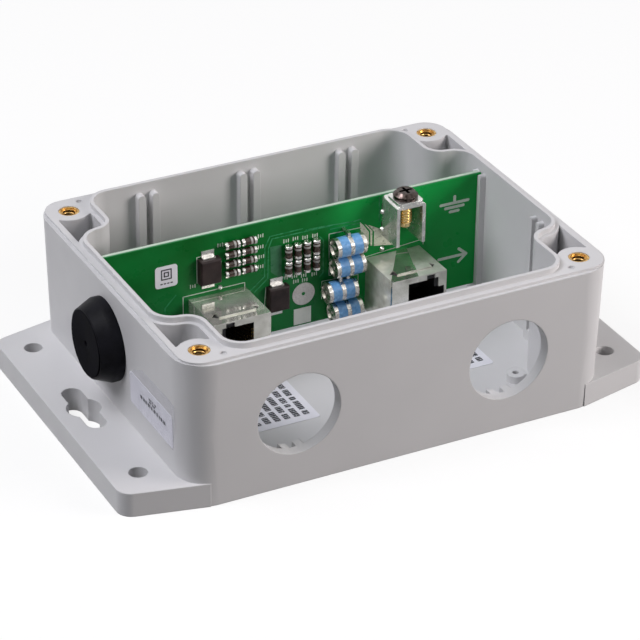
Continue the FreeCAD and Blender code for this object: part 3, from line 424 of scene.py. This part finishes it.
def round_print(piece, radius, upright="y"):
    """Rounds the corners of a flat print by bevelling the edges that stand on its ground."""
    pick(piece)
    bpy.ops.object.mode_set(mode="EDIT")
    bpy.ops.mesh.select_mode(type="EDGE")
    bpy.ops.mesh.select_all(action="DESELECT")
    bpy.ops.object.mode_set(mode="OBJECT")
    vertices = piece.data.vertices
    for edge in piece.data.edges:
        run = vertices[edge.vertices[0]].co - vertices[edge.vertices[1]].co
        edge.select = abs(getattr(run, upright)) > 0.9 * run.length
    bpy.ops.object.mode_set(mode="EDIT")
    bpy.ops.mesh.bevel(offset=radius, segments=3, affect="EDGES")
    bpy.ops.mesh.select_mode(type="VERT")
    bpy.ops.object.mode_set(mode="OBJECT")


def along(*points):
    """The bars between each point of a route and the next one."""
    return [(*start, *end) for start, end in zip(points, points[1:])]


track, shader, place = finish("track_under_mask", {"Specular IOR Level": 0.25})
feed(
    shader,
    Base_Color=place.noise(2 * MM, 3).spread(0, 1).blend((0.012, 0.19, 0.055, 1), TRACK_GREEN),
    Roughness=place.noise(1 * MM, 3).spread(0.22, 0.36),
)
routes = (
    along((-11.4, 18.6), (-7.7, 21.6), (-7.5, 30.1), (-6.5, 32.6), (9.7, 32.5))
    + along((-12.6, 19.3), (-8.6, 22.4), (-8.5, 30.6), (-7.1, 33.4), (2.0, 33.5))
    + along((6.8, 30.2), (7.9, 28.9), (7.9, 19.6), (6.8, 18.4))
    + along((3.0, 32.9), (6.9, 32.8), (16.9, 32.2), (18.5, 32.4))
    + along((9.9, 31.5), (16.5, 31.4), (18.2, 31.3))
    + along((23.7, 37.4), (23.8, 30.6))
    + along((-36.0, 12.0), (-36.0, 20.0), (-33.0, 23.0))
    + along((-5.3, 18.6), (-3.2, 20.6), (-3.2, 22.0))
)
on_box(print_bars("board_tracks", routes, width=0.28, rise=0.05), track)


def flat_outline(name, corners):
    """A thin flat sheet with these corners, made from a circle with as many points."""
    bpy.ops.object.select_all(action="DESELECT")
    bpy.ops.mesh.primitive_circle_add(vertices=len(corners), radius=MM, fill_type="NGON")
    sheet = bpy.context.object
    sheet.name = name
    for vertex, corner in zip(sheet.data.vertices, corners):
        vertex.co = corner
    bpy.ops.object.modifier_add(type="SOLIDIFY")
    sheet.modifiers[-1].thickness = SHEET_THICK
    sheet.modifiers[-1].offset = 0
    bpy.ops.object.modifier_apply(modifier=sheet.modifiers[-1].name)
    bpy.ops.object.mode_set(mode="EDIT")
    bpy.ops.mesh.select_all(action="SELECT")
    bpy.ops.mesh.normals_make_consistent(inside=False)
    bpy.ops.object.mode_set(mode="OBJECT")
    return sheet


def board_sheet(name, *corners):
    """A thin sheet on the front of the board, with its corners (x, z) in mm."""
    return flat_outline(name, [(x * MM, FRONT - SHEET_THICK / 2, z * MM) for x, z in corners])


island = board_sheet("board_copper_island", (-7.0, 30.4), (-3.9, 30.3), (-3.8, 20.4), (-6.8, 23.2))
pale_mask, shader, place = finish("mask_over_pale_copper", {"Specular IOR Level": 0.16})
feed(
    shader,
    Base_Color=place.noise(2 * MM, 3).spread(0, 1).blend((0.035, 0.155, 0.070, 1), (0.060, 0.200, 0.100, 1)),
    Roughness=place.noise(1 * MM, 3).spread(0.26, 0.40),
)
on_box(island, pale_mask)

silk_white, shader, place = finish("screen_printed_white", {"Specular IOR Level": 0.3})
feed(
    shader,
    Base_Color=place.noise(0.5 * MM, 3).spread(0, 1).blend((0.50, 0.60, 0.51, 1), (0.64, 0.71, 0.63, 1)),
    Roughness=place.noise(0.8 * MM, 3).spread(0.5, 0.7),
)
outlines = (
    along((-31.05, 13.0), (-31.05, 21.98), (-14.1, 22.05), (-14.1, 21.0))
    + along((20.2, 14.0), (20.2, 21.2), (36.8, 22.5), (36.8, 21.0))
    + along((9.65, 18.3), (9.5, 30.2), (18.9, 30.0), (18.9, 27.0))
    + along((9.65, 18.3), (11.0, 18.3))
    + along((7.6, 12.0), (7.6, 17.1), (18.0, 16.6), (18.0, 13.0))
    + along((-27.2, 25.0), (-27.2, 32.2), (-26.0, 32.2))
    + along((-8.6, 14.2), (-8.2, 19.2), (-7.4, 19.2))
)
silk = print_bars("board_silk_outlines", outlines, width=0.2, rise=0.03)
on_box(silk, silk_white)

TICK_HEIGHTS = (0.9, 0.6, 0.8)
TICK_PITCH = 0.62
mark_places = (
    (-10.5, 34.2), (-10.5, 31.1), (-10.3, 28.3), (-10.5, 25.5),
    (-3.4, 31.1), (-0.8, 31.2), (1.9, 30.9), (4.7, 30.8),
    (-3.7, 20.6), (-1.0, 20.5), (1.6, 20.1), (4.6, 19.8),
    (-0.6, 18.9), (1.9, 18.7), (-21.6, 34.2), (-29.2, 24.4),
)
ticks = []
for x, z in mark_places:
    for number, tall in enumerate(TICK_HEIGHTS):
        middle = x + 0.2 + number * TICK_PITCH
        ticks.append((middle, z - tall / 2, middle, z + tall / 2))
marks = print_bars("board_silk_marks", ticks, width=0.26, rise=0.03)
on_box(marks, silk_white)

EARTH_X, EARTH_Z = 45.7, 30.6
earth = (
    along((EARTH_X, EARTH_Z + 2.1), (EARTH_X, EARTH_Z + 0.3))
    + along((EARTH_X - 4.0, EARTH_Z + 0.3), (EARTH_X + 4.0, EARTH_Z + 0.3))
    + along((EARTH_X - 2.6, EARTH_Z - 0.9), (EARTH_X + 2.6, EARTH_Z - 0.9))
    + along((EARTH_X - 1.2, EARTH_Z - 2.1), (EARTH_X + 1.2, EARTH_Z - 2.1))
)
ARROW_X, ARROW_Z = 45.6, 15.2
arrow = (
    along((ARROW_X - 4.0, ARROW_Z), (ARROW_X + 4.0, ARROW_Z))
    + along((ARROW_X + 1.9, ARROW_Z + 1.9), (ARROW_X + 4.1, ARROW_Z), (ARROW_X + 1.9, ARROW_Z - 1.9))
)
signs = print_bars("board_earth_and_output_signs", earth + arrow, width=0.8, rise=0.03)
on_box(signs, silk_white)

block = board_sheet("board_silk_block", (-0.3, 6.2), (4.6, 6.2), (4.6, 10.8), (-0.3, 10.8))
solid_white, shader, place = finish("solid_printed_white", {"Specular IOR Level": 0.3})
feed(
    shader,
    Base_Color=place.noise(3 * MM, 3).spread(0, 1).blend((0.70, 0.74, 0.70, 1), (0.80, 0.83, 0.79, 1)),
    Roughness=place.noise(0.8 * MM, 3).spread(0.45, 0.6),
)
on_box(block, solid_white)

solder, shader, place = finish("bright_solder", {"Metallic": 1.0})
feed(
    shader,
    Base_Color=place.noise(0.6 * MM, 3).spread(0, 1).blend((0.55, 0.56, 0.55, 1), (0.80, 0.80, 0.77, 1)),
    Roughness=place.noise(0.5 * MM, 3).spread(0.18, 0.42),
    Normal=place.noise(0.5 * MM, 2).bump(0.03 * MM, 0.5),
)
bare_copper, shader, place = finish("tinned_copper_area", {"Metallic": 0.35})
feed(
    shader,
    Base_Color=place.noise(1.2 * MM, 3).spread(0, 1).blend((0.50, 0.54, 0.42, 1), (0.66, 0.68, 0.58, 1)),
    Roughness=place.noise(0.8 * MM, 3).spread(0.22, 0.40),
    Normal=place.noise(0.9 * MM, 2).bump(0.02 * MM, 0.4),
)
areas = {
    "left": ((18.3, 31.6), (18.4, 29.5), (20.5, 25.0), (21.0, 24.3), (20.9, 28.2), (19.2, 30.6)),
    "middle": ((19.6, 30.7), (21.3, 28.4), (21.4, 24.1), (21.9, 24.0), (21.9, 28.3), (20.1, 30.4)),
    "right": ((20.6, 30.3), (22.4, 28.0), (22.4, 23.8), (28.8, 22.8), (24.0, 28.4)),
}
for side, corners in areas.items():
    on_box(board_sheet(f"board_bare_copper_{side}", *corners), bare_copper)

PAD_X, PAD_Z = 2.4 * MM, 14.8 * MM
PAD_RADIUS = 3.15 * MM
PAD_LIP_RADIUS = 0.75 * MM
PAD_RISE = 0.1 * MM
bpy.ops.object.select_all(action="DESELECT")
bpy.ops.mesh.primitive_cylinder_add(
    vertices=48, radius=PAD_RADIUS, depth=PAD_RISE * 2,
    location=(PAD_X, FRONT, PAD_Z), rotation=(math.pi / 2, 0, 0))
pad = bpy.context.object
pad.name = "board_earth_pad"
settle(pad)
pad_steps = ((PAD_RADIUS - PAD_LIP_RADIUS, -0.06 * MM), (0.35 * MM, 0.22 * MM))
dish(pad, Vector((0, -1, 0)), pad_steps)
satin_pad, shader, place = finish("satin_tinned_pad", {"Metallic": 0.4})
feed(
    shader,
    Base_Color=place.noise(0.5 * MM, 3).spread(0, 1).blend((0.52, 0.51, 0.49, 1), (0.66, 0.65, 0.63, 1)),
    Roughness=place.noise(0.5 * MM, 3).spread(0.30, 0.45),
)
on_box(pad, satin_pad)


def solder_cone(x, z, radius, rise, layer, outward):
    """A fillet of solder, in mm: a low cone with rounded edges."""
    bpy.ops.object.select_all(action="DESELECT")
    bpy.ops.mesh.primitive_cone_add(
        vertices=16, radius1=radius * MM, radius2=radius * 0.35 * MM, depth=rise * MM,
        location=(x * MM, layer + outward * rise * MM / 2, z * MM),
        rotation=(-outward * math.pi / 2, 0, 0))
    cone = bpy.context.object
    bpy.ops.object.modifier_add(type="BEVEL")
    cone.modifiers[-1].width = radius * 0.3 * MM
    cone.modifiers[-1].segments = 3
    bpy.ops.object.modifier_apply(modifier=cone.modifiers[-1].name)
    settle(cone)
    bpy.ops.object.shade_smooth()
    return cone


PIN_PITCH = 1.27
JACK_PINS = ((-21.75, 13.4), (27.85, 13.4))
TUBE_PINS = ((13.5, 27.45), (13.4, 21.85), (11.3, 15.2), (12.9, 9.1))
TUBE_PIN_PITCH = 3.4
back_joints = []
for jack_x, jack_z in JACK_PINS:
    for pin in range(8):
        x = jack_x + (pin - 3.5) * PIN_PITCH
        z = jack_z + (PIN_PITCH if pin % 2 else -PIN_PITCH)
        back_joints.append(solder_cone(x, z, radius=0.6, rise=0.7, layer=BACK, outward=1))
for tube_x, tube_z in TUBE_PINS:
    for side in (-1, 0, 1):
        x = tube_x + side * TUBE_PIN_PITCH
        back_joints.append(solder_cone(x, tube_z, radius=0.9, rise=0.9, layer=BACK, outward=1))
on_box(joined("board_back_joints", back_joints), solder)

BRACKET_BLOBS = ((24.7, 33.2, 0.9), (24.6, 28.2, 0.9), (-21.0, 22.4, 0.8), (24.7, 22.6, 0.8))
front_joints = [
    solder_cone(x, z, radius, rise=0.9, layer=FRONT, outward=-1) for x, z, radius in BRACKET_BLOBS]
on_box(joined("board_front_joints", front_joints), solder)


# Network jacks
# Each jack is a folded and tinned sheet shield round a black plastic insert, which holds eight
# gold plated spring contacts. The left jack is soldered in upside down.

def tin_sheet(name, satin_share, bright_share):
    """Rolled tin plate, satin with stains, and brighter in a wiped wedge on the right jack."""
    made, shader, place = finish(name)
    rolled = place.noise(0.25 * MM, 3, (1, 0.12, 1))
    stains = place.noise(2.2 * MM, 4)
    past_right = (place.axis("X") - place.axis("Y") * 0.306).step(27.7 * MM, 27.9 * MM)
    past_left = (place.axis("X") - place.axis("Y") * 0.652).step(20.2 * MM, 20.0 * MM)
    wiped = 1 - past_right.math("MAXIMUM", past_right, past_left)
    satin = wiped * (bright_share - satin_share) + satin_share
    feed(
        shader,
        Base_Color=stains.spread(0, 1).blend((0.60, 0.60, 0.53, 1), (0.82, 0.82, 0.75, 1)),
        Metallic=1 - satin,
        Roughness=(rolled * 0.4 + stains * 0.6).spread(0.04, 0.12) + satin * 0.10,
        Normal=(stains * 0.7 + rolled * 0.3).bump(0.02 * MM, 0.3, place.rounded_edges(0.12 * MM)),
    )
    return made


sheet_finishes = {
    "left": tin_sheet("left_bright_tin_plate", satin_share=0.27, bright_share=0.27),
    "right": tin_sheet("right_bright_tin_plate", satin_share=0.62, bright_share=0.10),
}
black_plastic, shader, place = finish("black_insert_plastic", {"Specular IOR Level": 0.4})
feed(
    shader,
    Base_Color=place.noise(2 * MM, 2).spread(0, 1).blend((0.006, 0.006, 0.007, 1), (0.016, 0.016, 0.018, 1)),
    Roughness=place.noise(1 * MM, 3).spread(0.42, 0.58),
    Normal=place.noise(0.15 * MM, 2).bump(0.006 * MM, 0.5, place.rounded_edges(0.1 * MM)),
)
gold, shader, place = finish("gold_plate", {"Metallic": 1.0})
feed(
    shader,
    Base_Color=place.noise(0.8 * MM, 2).spread(0, 1).blend((0.74, 0.50, 0.16, 1), (0.95, 0.72, 0.32, 1)),
    Roughness=place.noise(0.4 * MM, 3).spread(0.14, 0.28),
)
for side in ("left", "right"):
    shield = joined_copy(f"jack_{side}_shield", f"{side}_jack_sheet_shield", 20)
    stand_for(shield, f"jack_{side}_shield", sheet_finishes[side])
    paint(nodes[f"jack_{side}_housing"], black_plastic)
    paint(nodes[f"jack_{side}_contacts"], gold)


# Gas discharge tubes
# Ceramic barrels with a blue printed sleeve between three tinned copper electrodes: a cup at
# each end and a ring in the middle.

blue, shader, place = finish("blue_printed_ceramic", {"Coat Weight": 0.5, "Coat Roughness": 0.1})
mottle = place.noise(0.8 * MM, 4)
feed(
    shader,
    Base_Color=mottle.spread(0, 1).blend((0.075, 0.260, 0.56, 1), (0.190, 0.430, 0.74, 1)),
    Roughness=place.noise(1 * MM, 3).spread(0.26, 0.42),
    Normal=mottle.bump(0.02 * MM, 0.4, place.rounded_edges(0.15 * MM)),
)
electrode, shader, place = finish("tinned_electrode", {"Metallic": 1.0})
tarnish = place.noise(0.8 * MM, 4)
feed(
    shader,
    Base_Color=tarnish.spread(0, 1).blend((0.46, 0.44, 0.40, 1), (0.78, 0.76, 0.71, 1)),
    Roughness=tarnish.spread(0.20, 0.36),
    Normal=tarnish.bump(0.008 * MM, 0.4, place.rounded_edges(0.12 * MM)),
)
for tube in range(1, 5):
    barrel = joined_copy(f"gas_tube_{tube}_ceramic", f"tube_{tube}_barrels")
    stand_for(barrel, f"gas_tube_{tube}_ceramic", blue)
    ends = joined_copy(f"gas_tube_{tube}_electrodes", f"tube_{tube}_electrode_cups")
    stand_for(ends, f"gas_tube_{tube}_electrodes", electrode)


# Diodes
# Sixteen small glass diodes for surface mounting, in two blocks of eight: a dark glass barrel
# with a printed band between two tinned end caps.

CAP_LENGTH = 0.75 * MM


def diode_glass(name, first, axis, pitch):
    """One finish for a block of diodes: metal at both ends of each one, glass between them."""
    low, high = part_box(first)
    along_axis = "XYZ".index(axis)
    middle = (low[along_axis] + high[along_axis]) / 2
    length = high[along_axis] - low[along_axis]
    made, shader, place = finish(name, {"Specular IOR Level": 0.6})
    run = (place.axis(axis) - (middle - pitch / 2)) % pitch - pitch / 2
    glass_half = length / 2 - CAP_LENGTH
    cap = abs(run).step(glass_half - 0.02 * MM, glass_half + 0.02 * MM)
    band = abs(run - glass_half * 0.45).step(0.30 * MM, 0.24 * MM)
    smoky = place.noise(0.6 * MM, 3).spread(0, 1).blend((0.010, 0.009, 0.008, 1), (0.075, 0.040, 0.025, 1))
    glass = (band * 0.85).blend(smoky, (0.42, 0.42, 0.40, 1))
    tin = place.noise(0.4 * MM, 3)
    feed(
        shader,
        Base_Color=cap.blend(glass, tin.spread(0, 1).blend((0.60, 0.59, 0.56, 1), (0.90, 0.89, 0.86, 1))),
        Metallic=cap,
        Roughness=tin.spread(0.14, 0.30),
        Normal=tin.bump(0.015 * MM, 0.5, place.rounded_edges(0.08 * MM)),
    )
    return made


flat_finish = diode_glass("flat_diode_glass", "flat_diode_11", "X", 4.6 * MM)
upright_finish = diode_glass("upright_diode_glass", "upright_diode_11", "Z", 4.5 * MM)
blocks = (("flat", flat_finish, 4, 2), ("upright", upright_finish, 2, 4))
for lie, glass_finish, rows, columns in blocks:
    for row in range(1, rows + 1):
        for column in range(1, columns + 1):
            diode = joined_copy(f"{lie}_diode_{row}{column}", f"{lie}_glass_diode_{row}{column}")
            stand_for(diode, f"{lie}_diode_{row}{column}", glass_finish)


# Surface mounted suppressors
# A black moulded body with a sloped parting line, and a bent tinned tab at each end.

epoxy, shader, place = finish("black_epoxy", {"Specular IOR Level": 0.25})
feed(
    shader,
    Base_Color=place.noise(3 * MM, 3).spread(0, 1).blend((0.014, 0.009, 0.009, 1), (0.040, 0.026, 0.026, 1)),
    Roughness=place.noise(0.6 * MM, 3).spread(0.30, 0.42),
    Normal=place.noise(0.12 * MM, 2).bump(0.01 * MM, 0.6, place.rounded_edges(0.15 * MM)),
)
tab_tin, shader, place = finish("matt_tin", {"Metallic": 1.0})
feed(
    shader,
    Base_Color=place.noise(0.7 * MM, 3).spread(0, 1).blend((0.68, 0.67, 0.64, 1), (0.86, 0.85, 0.83, 1)),
    Roughness=place.noise(0.4 * MM, 3).spread(0.24, 0.42),
    Normal=place.noise(0.3 * MM, 2).bump(0.015 * MM, 0.5, place.rounded_edges(0.1 * MM)),
)
for number in (1, 2):
    paint(nodes[f"suppressor_{number}_body"], epoxy)
    tabs = joined_copy(f"suppressor_{number}_leads", f"suppressor_{number}_tabs")
    stand_for(tabs, f"suppressor_{number}_leads", tab_tin)


# Earth terminal
# A folded tin plated bracket soldered through the board, a square clamp washer, and a
# cross-head screw on a yellow passivated shank, whose chrome head is painted dark as a painted
# reflection. The screw and the washer ride on their own bodies, because they turn and lift.

bracket_metal, shader, place = finish("tin_plated_bracket", {"Metallic": 0.82})
wear = place.noise(1.6 * MM, 4)
feed(
    shader,
    Base_Color=wear.spread(0, 1).blend((0.62, 0.63, 0.60, 1), (0.86, 0.86, 0.82, 1)),
    Roughness=wear.spread(0.14, 0.30),
    Normal=wear.bump(0.03 * MM, 0.4, place.rounded_edges(0.15 * MM)),
)
bracket = joined_copy("terminal_bracket", "folded_bracket", 20)
stand_for(bracket, "terminal_bracket", bracket_metal)
washer = joined_copy("terminal_washer", "square_clamp_washer")
stand_for(washer, "terminal_washer", bracket_metal, "clamp_washer")

SHANK_TOP = 38.4 * MM
SHANK_RADIUS = 1.45 * MM
SCREW_X, SCREW_Y = 28.65 * MM, 9.1 * MM
SCREW_PITCH = 0.8 * MM
SCREW_RIDGE = 0.42 * MM
screw_metal, shader, place = finish("plated_screw", {"Metallic": 1.0})
shank = place.axis("Z").step(SHANK_TOP + 0.2 * MM, SHANK_TOP - 0.2 * MM)
polish = place.noise(0.8 * MM, 3)
# Painted reflection: the chrome head is painted near black with brownish blotches, for the dark, patchy
# reflection in it.
painted_dark_head_reflection = polish.spread(0, 1).blend((0.012, 0.009, 0.008, 1), (0.11, 0.085, 0.078, 1))
feed(
    shader,
    Base_Color=shank.blend(painted_dark_head_reflection, (0.92, 0.70, 0.34, 1)),
    Roughness=polish.spread(0.06, 0.16),
    Normal=polish.bump(0.01 * MM, 0.3, place.rounded_edges(0.06 * MM)),
)
screw = joined_copy("terminal_screw", "cross_head_screw")
stand_for(screw, "terminal_screw", screw_metal, "clamp_screw")
screw_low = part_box("terminal_screw")[0]
screw_turns = int((SHANK_TOP - screw_low.z) / SCREW_PITCH) - 2
screw_thread = wound_ridge(
    "clamp_screw_thread", (SCREW_X, SCREW_Y), SHANK_RADIUS - 0.03 * MM, SCREW_RIDGE,
    SCREW_PITCH, screw_low.z + 1.1 * MM, screw_turns)
paint(screw_thread, screw_metal)
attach(screw_thread, "clamp_screw")


# Labels
# Printed paper and film: a small square sticker on the board, one label on the left end wall
# and two on the floor. Their print is rows of plain bars, with two squares on the sticker.

paper, shader, place = finish("label_paper", {"Specular IOR Level": 0.4})
feed(
    shader,
    Base_Color=place.noise(5 * MM, 3).spread(0, 1).blend((0.74, 0.74, 0.80, 1), (0.80, 0.80, 0.85, 1)),
    Roughness=place.noise(1 * MM, 3).spread(0.40, 0.55),
    Normal=place.noise(0.2 * MM, 3).bump(0.004 * MM, 0.5),
)
for node in ("board_sticker", "side_label", "floor_label_left", "floor_label_right"):
    paint(nodes[node], paper)

SIDE_LOW, SIDE_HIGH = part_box("side_label")
WALL_DRAFT = 0.89 / 38.5
FILM_RISE = 0.05
PRINT_RISE = 0.09
INK_THICK = 0.02 * MM


def on_left_wall(y, z, rise):
    """A point above the outer face of the side label, which leans out with the drafted wall."""
    return Vector((SIDE_LOW.x + (SIDE_HIGH.z - z * MM) * WALL_DRAFT - rise * MM, y * MM, z * MM))


film, shader, place = finish("clear_label_film", {"Specular IOR Level": 0.5})
feed(
    shader,
    Base_Color=place.noise(4 * MM, 3).spread(0, 1).blend((0.74, 0.74, 0.82, 1), (0.80, 0.80, 0.87, 1)),
    Roughness=place.noise(2 * MM, 3).spread(0.18, 0.32),
    Alpha=place.noise(9 * MM, 2).spread(0.11, 0.14),
)
film_corners = (
    (-12.6, 13.4), (-12.5, 20.6), (-15.3, 23.4), (-20.7, 26.0),
    (-35.9, 26.2), (-38.3, 25.7), (-38.5, 22.3), (-36.9, 13.0),
)
cover = flat_outline("side_label_film", [on_left_wall(y, z, FILM_RISE) for y, z in film_corners])
on_box(cover, film)

ink, shader, place = finish("label_ink", {"Specular IOR Level": 0.3})
strokes = ((place.axis("Y") / (0.80 * MM)) % 1).step(0.80, 0.86)
breaks = place.noise(0.34 * MM, 2).step(0.62, 0.66)
bare = strokes.math("MAXIMUM", strokes, breaks)
dark = place.noise(0.6 * MM, 3).spread(0, 1).blend((0.012, 0.013, 0.019, 1), (0.036, 0.040, 0.052, 1))
feed(
    shader,
    Base_Color=(bare * 0.9).blend(dark, (0.72, 0.72, 0.76, 1)),
    Roughness=place.noise(0.5 * MM, 3).spread(0.4, 0.6),
)
solid_ink, shader, place = finish("sticker_ink", {"Specular IOR Level": 0.3})
cloudy = place.noise(0.6 * MM, 3).spread(0, 1)
feed(
    shader,
    Base_Color=cloudy.blend((0.020, 0.022, 0.030, 1), (0.065, 0.070, 0.085, 1)),
    Roughness=place.noise(0.5 * MM, 3).spread(0.4, 0.6),
)


def word_lengths(total, seed, shortest=1.4, gap=0.7):
    """Word-like runs with gaps, which fill a line of this length: (start, end) of each one."""
    runs = []
    at = 0.0
    while at < total - 1.2:
        seed = (seed * 37 + 11) % 97
        end = min(at + shortest * (1 + (seed % 7) * 0.39), total)
        runs.append((at, end))
        at = end + gap
    return runs


FLOOR_ROWS = 8
FLOOR_ROW_PITCH = 2.6
FLOOR_BAR_WIDTH = 1.6
FLOOR_MARGIN = 2.2


def floor_print(name, node):
    """Rows of bars on a floor label, which read from the front to the back of the box."""
    low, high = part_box(node)
    length = (high.y - low.y) / MM - FLOOR_MARGIN * 2
    bars = []
    for row in range(FLOOR_ROWS):
        x = low.x / MM + FLOOR_MARGIN + row * FLOOR_ROW_PITCH
        for start, end in word_lengths(length, row * 13 + 5):
            y = low.y / MM + FLOOR_MARGIN + (start + end) / 2
            bpy.ops.object.select_all(action="DESELECT")
            bpy.ops.mesh.primitive_cube_add(
                size=1, location=(x * MM, y * MM, high.z + INK_THICK / 2),
                scale=(FLOOR_BAR_WIDTH * MM, (end - start) * MM, INK_THICK))
            bars.append(bpy.context.object)
    piece = joined(name, bars)
    settle(piece)
    round_print(piece, 0.25 * MM, "z")
    on_box(piece, ink)


side_rows = (
    (18.1, -33.0, 15.0, 0.9, 3),
    (20.0, -27.9, 5.4, 0.5, 8),
    (19.2, -27.2, 4.0, 0.5, 21),
)
words = []
for z, start, total, tall, seed in side_rows:
    low, high = z - tall / 2, z + tall / 2
    for first, last in word_lengths(total, seed, shortest=0.5, gap=0.6):
        near, far = start + first, start + last
        corners = ((near, low), (far, low), (far, high), (near, high))
        words.append(flat_outline("word", [on_left_wall(*corner, PRINT_RISE) for corner in corners]))
on_box(joined("side_label_print", words), ink)

STICKER_LOW, STICKER_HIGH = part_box("board_sticker")
sticker_x = (STICKER_LOW.x + STICKER_HIGH.x) / 2 / MM
sticker_z = (STICKER_LOW.z + STICKER_HIGH.z) / 2 / MM
SQUARES_RISE = 0.6
DASHES_DROP = 1.9
DASH_LENGTH = 0.35
DASH_PITCH = 0.9
square_bars = []
for half in (1.3, 0.55):
    x0, x1 = sticker_x - half, sticker_x + half
    z0, z1 = sticker_z + SQUARES_RISE - half, sticker_z + SQUARES_RISE + half
    square_bars += along((x0, z0), (x1, z0), (x1, z1), (x0, z1), (x0, z0))
for number in range(4):
    x = sticker_x - 1.5 + number * DASH_PITCH
    z = sticker_z - DASHES_DROP
    square_bars += along((x, z), (x + DASH_LENGTH, z))
squares = print_bars("board_sticker_print", square_bars, width=0.34, rise=0.02, layer=STICKER_LOW.y)
on_box(squares, solid_ink)

for side in ("left", "right"):
    floor_print(f"floor_label_{side}_print", f"floor_label_{side}")


# Floor and light
# A plain white floor that keeps the object's shadow, a white world for the camera and for
# reflections, two large soft lamps and a smaller one high on the left, and one low on the right.

bpy.ops.object.select_all(action="DESELECT")
bpy.ops.mesh.primitive_plane_add(size=6, location=(0, 0, 0))
floor = bpy.context.object
floor.name = "studio_floor"
floor_paint = bpy.data.materials.new("studio_white")


def seen_rays(tree):
    """1 for the rays that show the surroundings: to the camera, off metal and through glass."""
    path = tree.nodes.new("ShaderNodeLightPath")
    rays = [Wire(tree, path.outputs[f"Is {kind} Ray"]) for kind in ("Camera", "Glossy", "Transmission")]
    return rays[0].math("MAXIMUM", rays[0], rays[1].math("MAXIMUM", rays[1], rays[2]))


def emptied_tree(holder):
    """The node tree of a material or a world, with its first nodes removed."""
    holder.use_nodes = True
    holder.node_tree.nodes.clear()
    return holder.node_tree


tree = emptied_tree(floor_paint)
seen = seen_rays(tree)
WHITE = (1, 1, 1, 1)
matt = seen.node("ShaderNodeBsdfDiffuse", None, {"Color": seen.blend((0.12, 0.12, 0.12, 1), WHITE)})
glow = seen.node("ShaderNodeEmission", None, {"Color": WHITE, "Strength": 1.0})
shown = seen.node("ShaderNodeMixShader", None, {0: seen * 0.82, 1: matt, 2: glow})
output = tree.nodes.new("ShaderNodeOutputMaterial")
tree.links.new(shown.socket, output.inputs["Surface"])
paint(floor, floor_paint)

world = bpy.data.worlds.new("studio")
bpy.context.scene.world = world
tree = emptied_tree(world)
seen = seen_rays(tree)
direction = seen.node("ShaderNodeTexCoord")
tent = direction.axis("Z").step(0.0, 1.0) * 0.15
cool_to_warm = direction.axis("X").step(-0.8, 0.8).blend((0.93, 0.96, 1.06, 1), (1.06, 1.0, 0.97, 1))
background = seen.node("ShaderNodeBackground", None, {
    "Color": seen.blend(cool_to_warm, WHITE),
    "Strength": seen + (1 - seen) * tent,
})
output = tree.nodes.new("ShaderNodeOutputWorld")
tree.links.new(background.socket, output.inputs["Surface"])


def lamp(name, place, size, watts, colour):
    """A square soft lamp that points at the middle of the box."""
    bpy.ops.object.light_add(type="AREA", location=place)
    made = bpy.context.object
    made.name = name
    made.data.size = size
    made.data.energy = watts
    made.data.color = colour
    to_box = Vector((0, 0, 0.02)) - Vector(place)
    made.rotation_euler = to_box.to_track_quat("-Z", "Y").to_euler()


lamp("high_softbox", (-0.60, -0.36, 1.12), 0.8, 2.0, (0.95, 1.0, 0.98))
lamp("back_softbox", (-0.65, 0.25, 1.05), 0.8, 6.8, (0.93, 0.94, 1.0))
lamp("left_lamp", (-0.72, 0.0, 0.88), 0.4, 4.0, (0.97, 0.94, 1.0))
lamp("right_softbox", (0.60, -0.50, 0.30), 0.4, 5.8, (1.0, 0.94, 0.93))

AZIMUTH = math.radians(-27.4489)
ELEVATION = math.radians(29.6542)
ROLL = 0.01176
bpy.ops.object.camera_add(location=(-0.291468, -0.561334, 0.374821))
camera = bpy.context.object
back_axis = Vector((
    math.sin(AZIMUTH) * math.cos(ELEVATION),
    -math.cos(AZIMUTH) * math.cos(ELEVATION),
    math.sin(ELEVATION),
))
aim = (-back_axis).to_track_quat("-Z", "Y") @ Quaternion((0, 0, 1), ROLL)
camera.rotation_euler = aim.to_euler()
camera.data.lens = 164.163
camera.data.sensor_width = 36
bpy.context.scene.camera = camera
bpy.context.scene.view_settings.view_transform = "Standard"
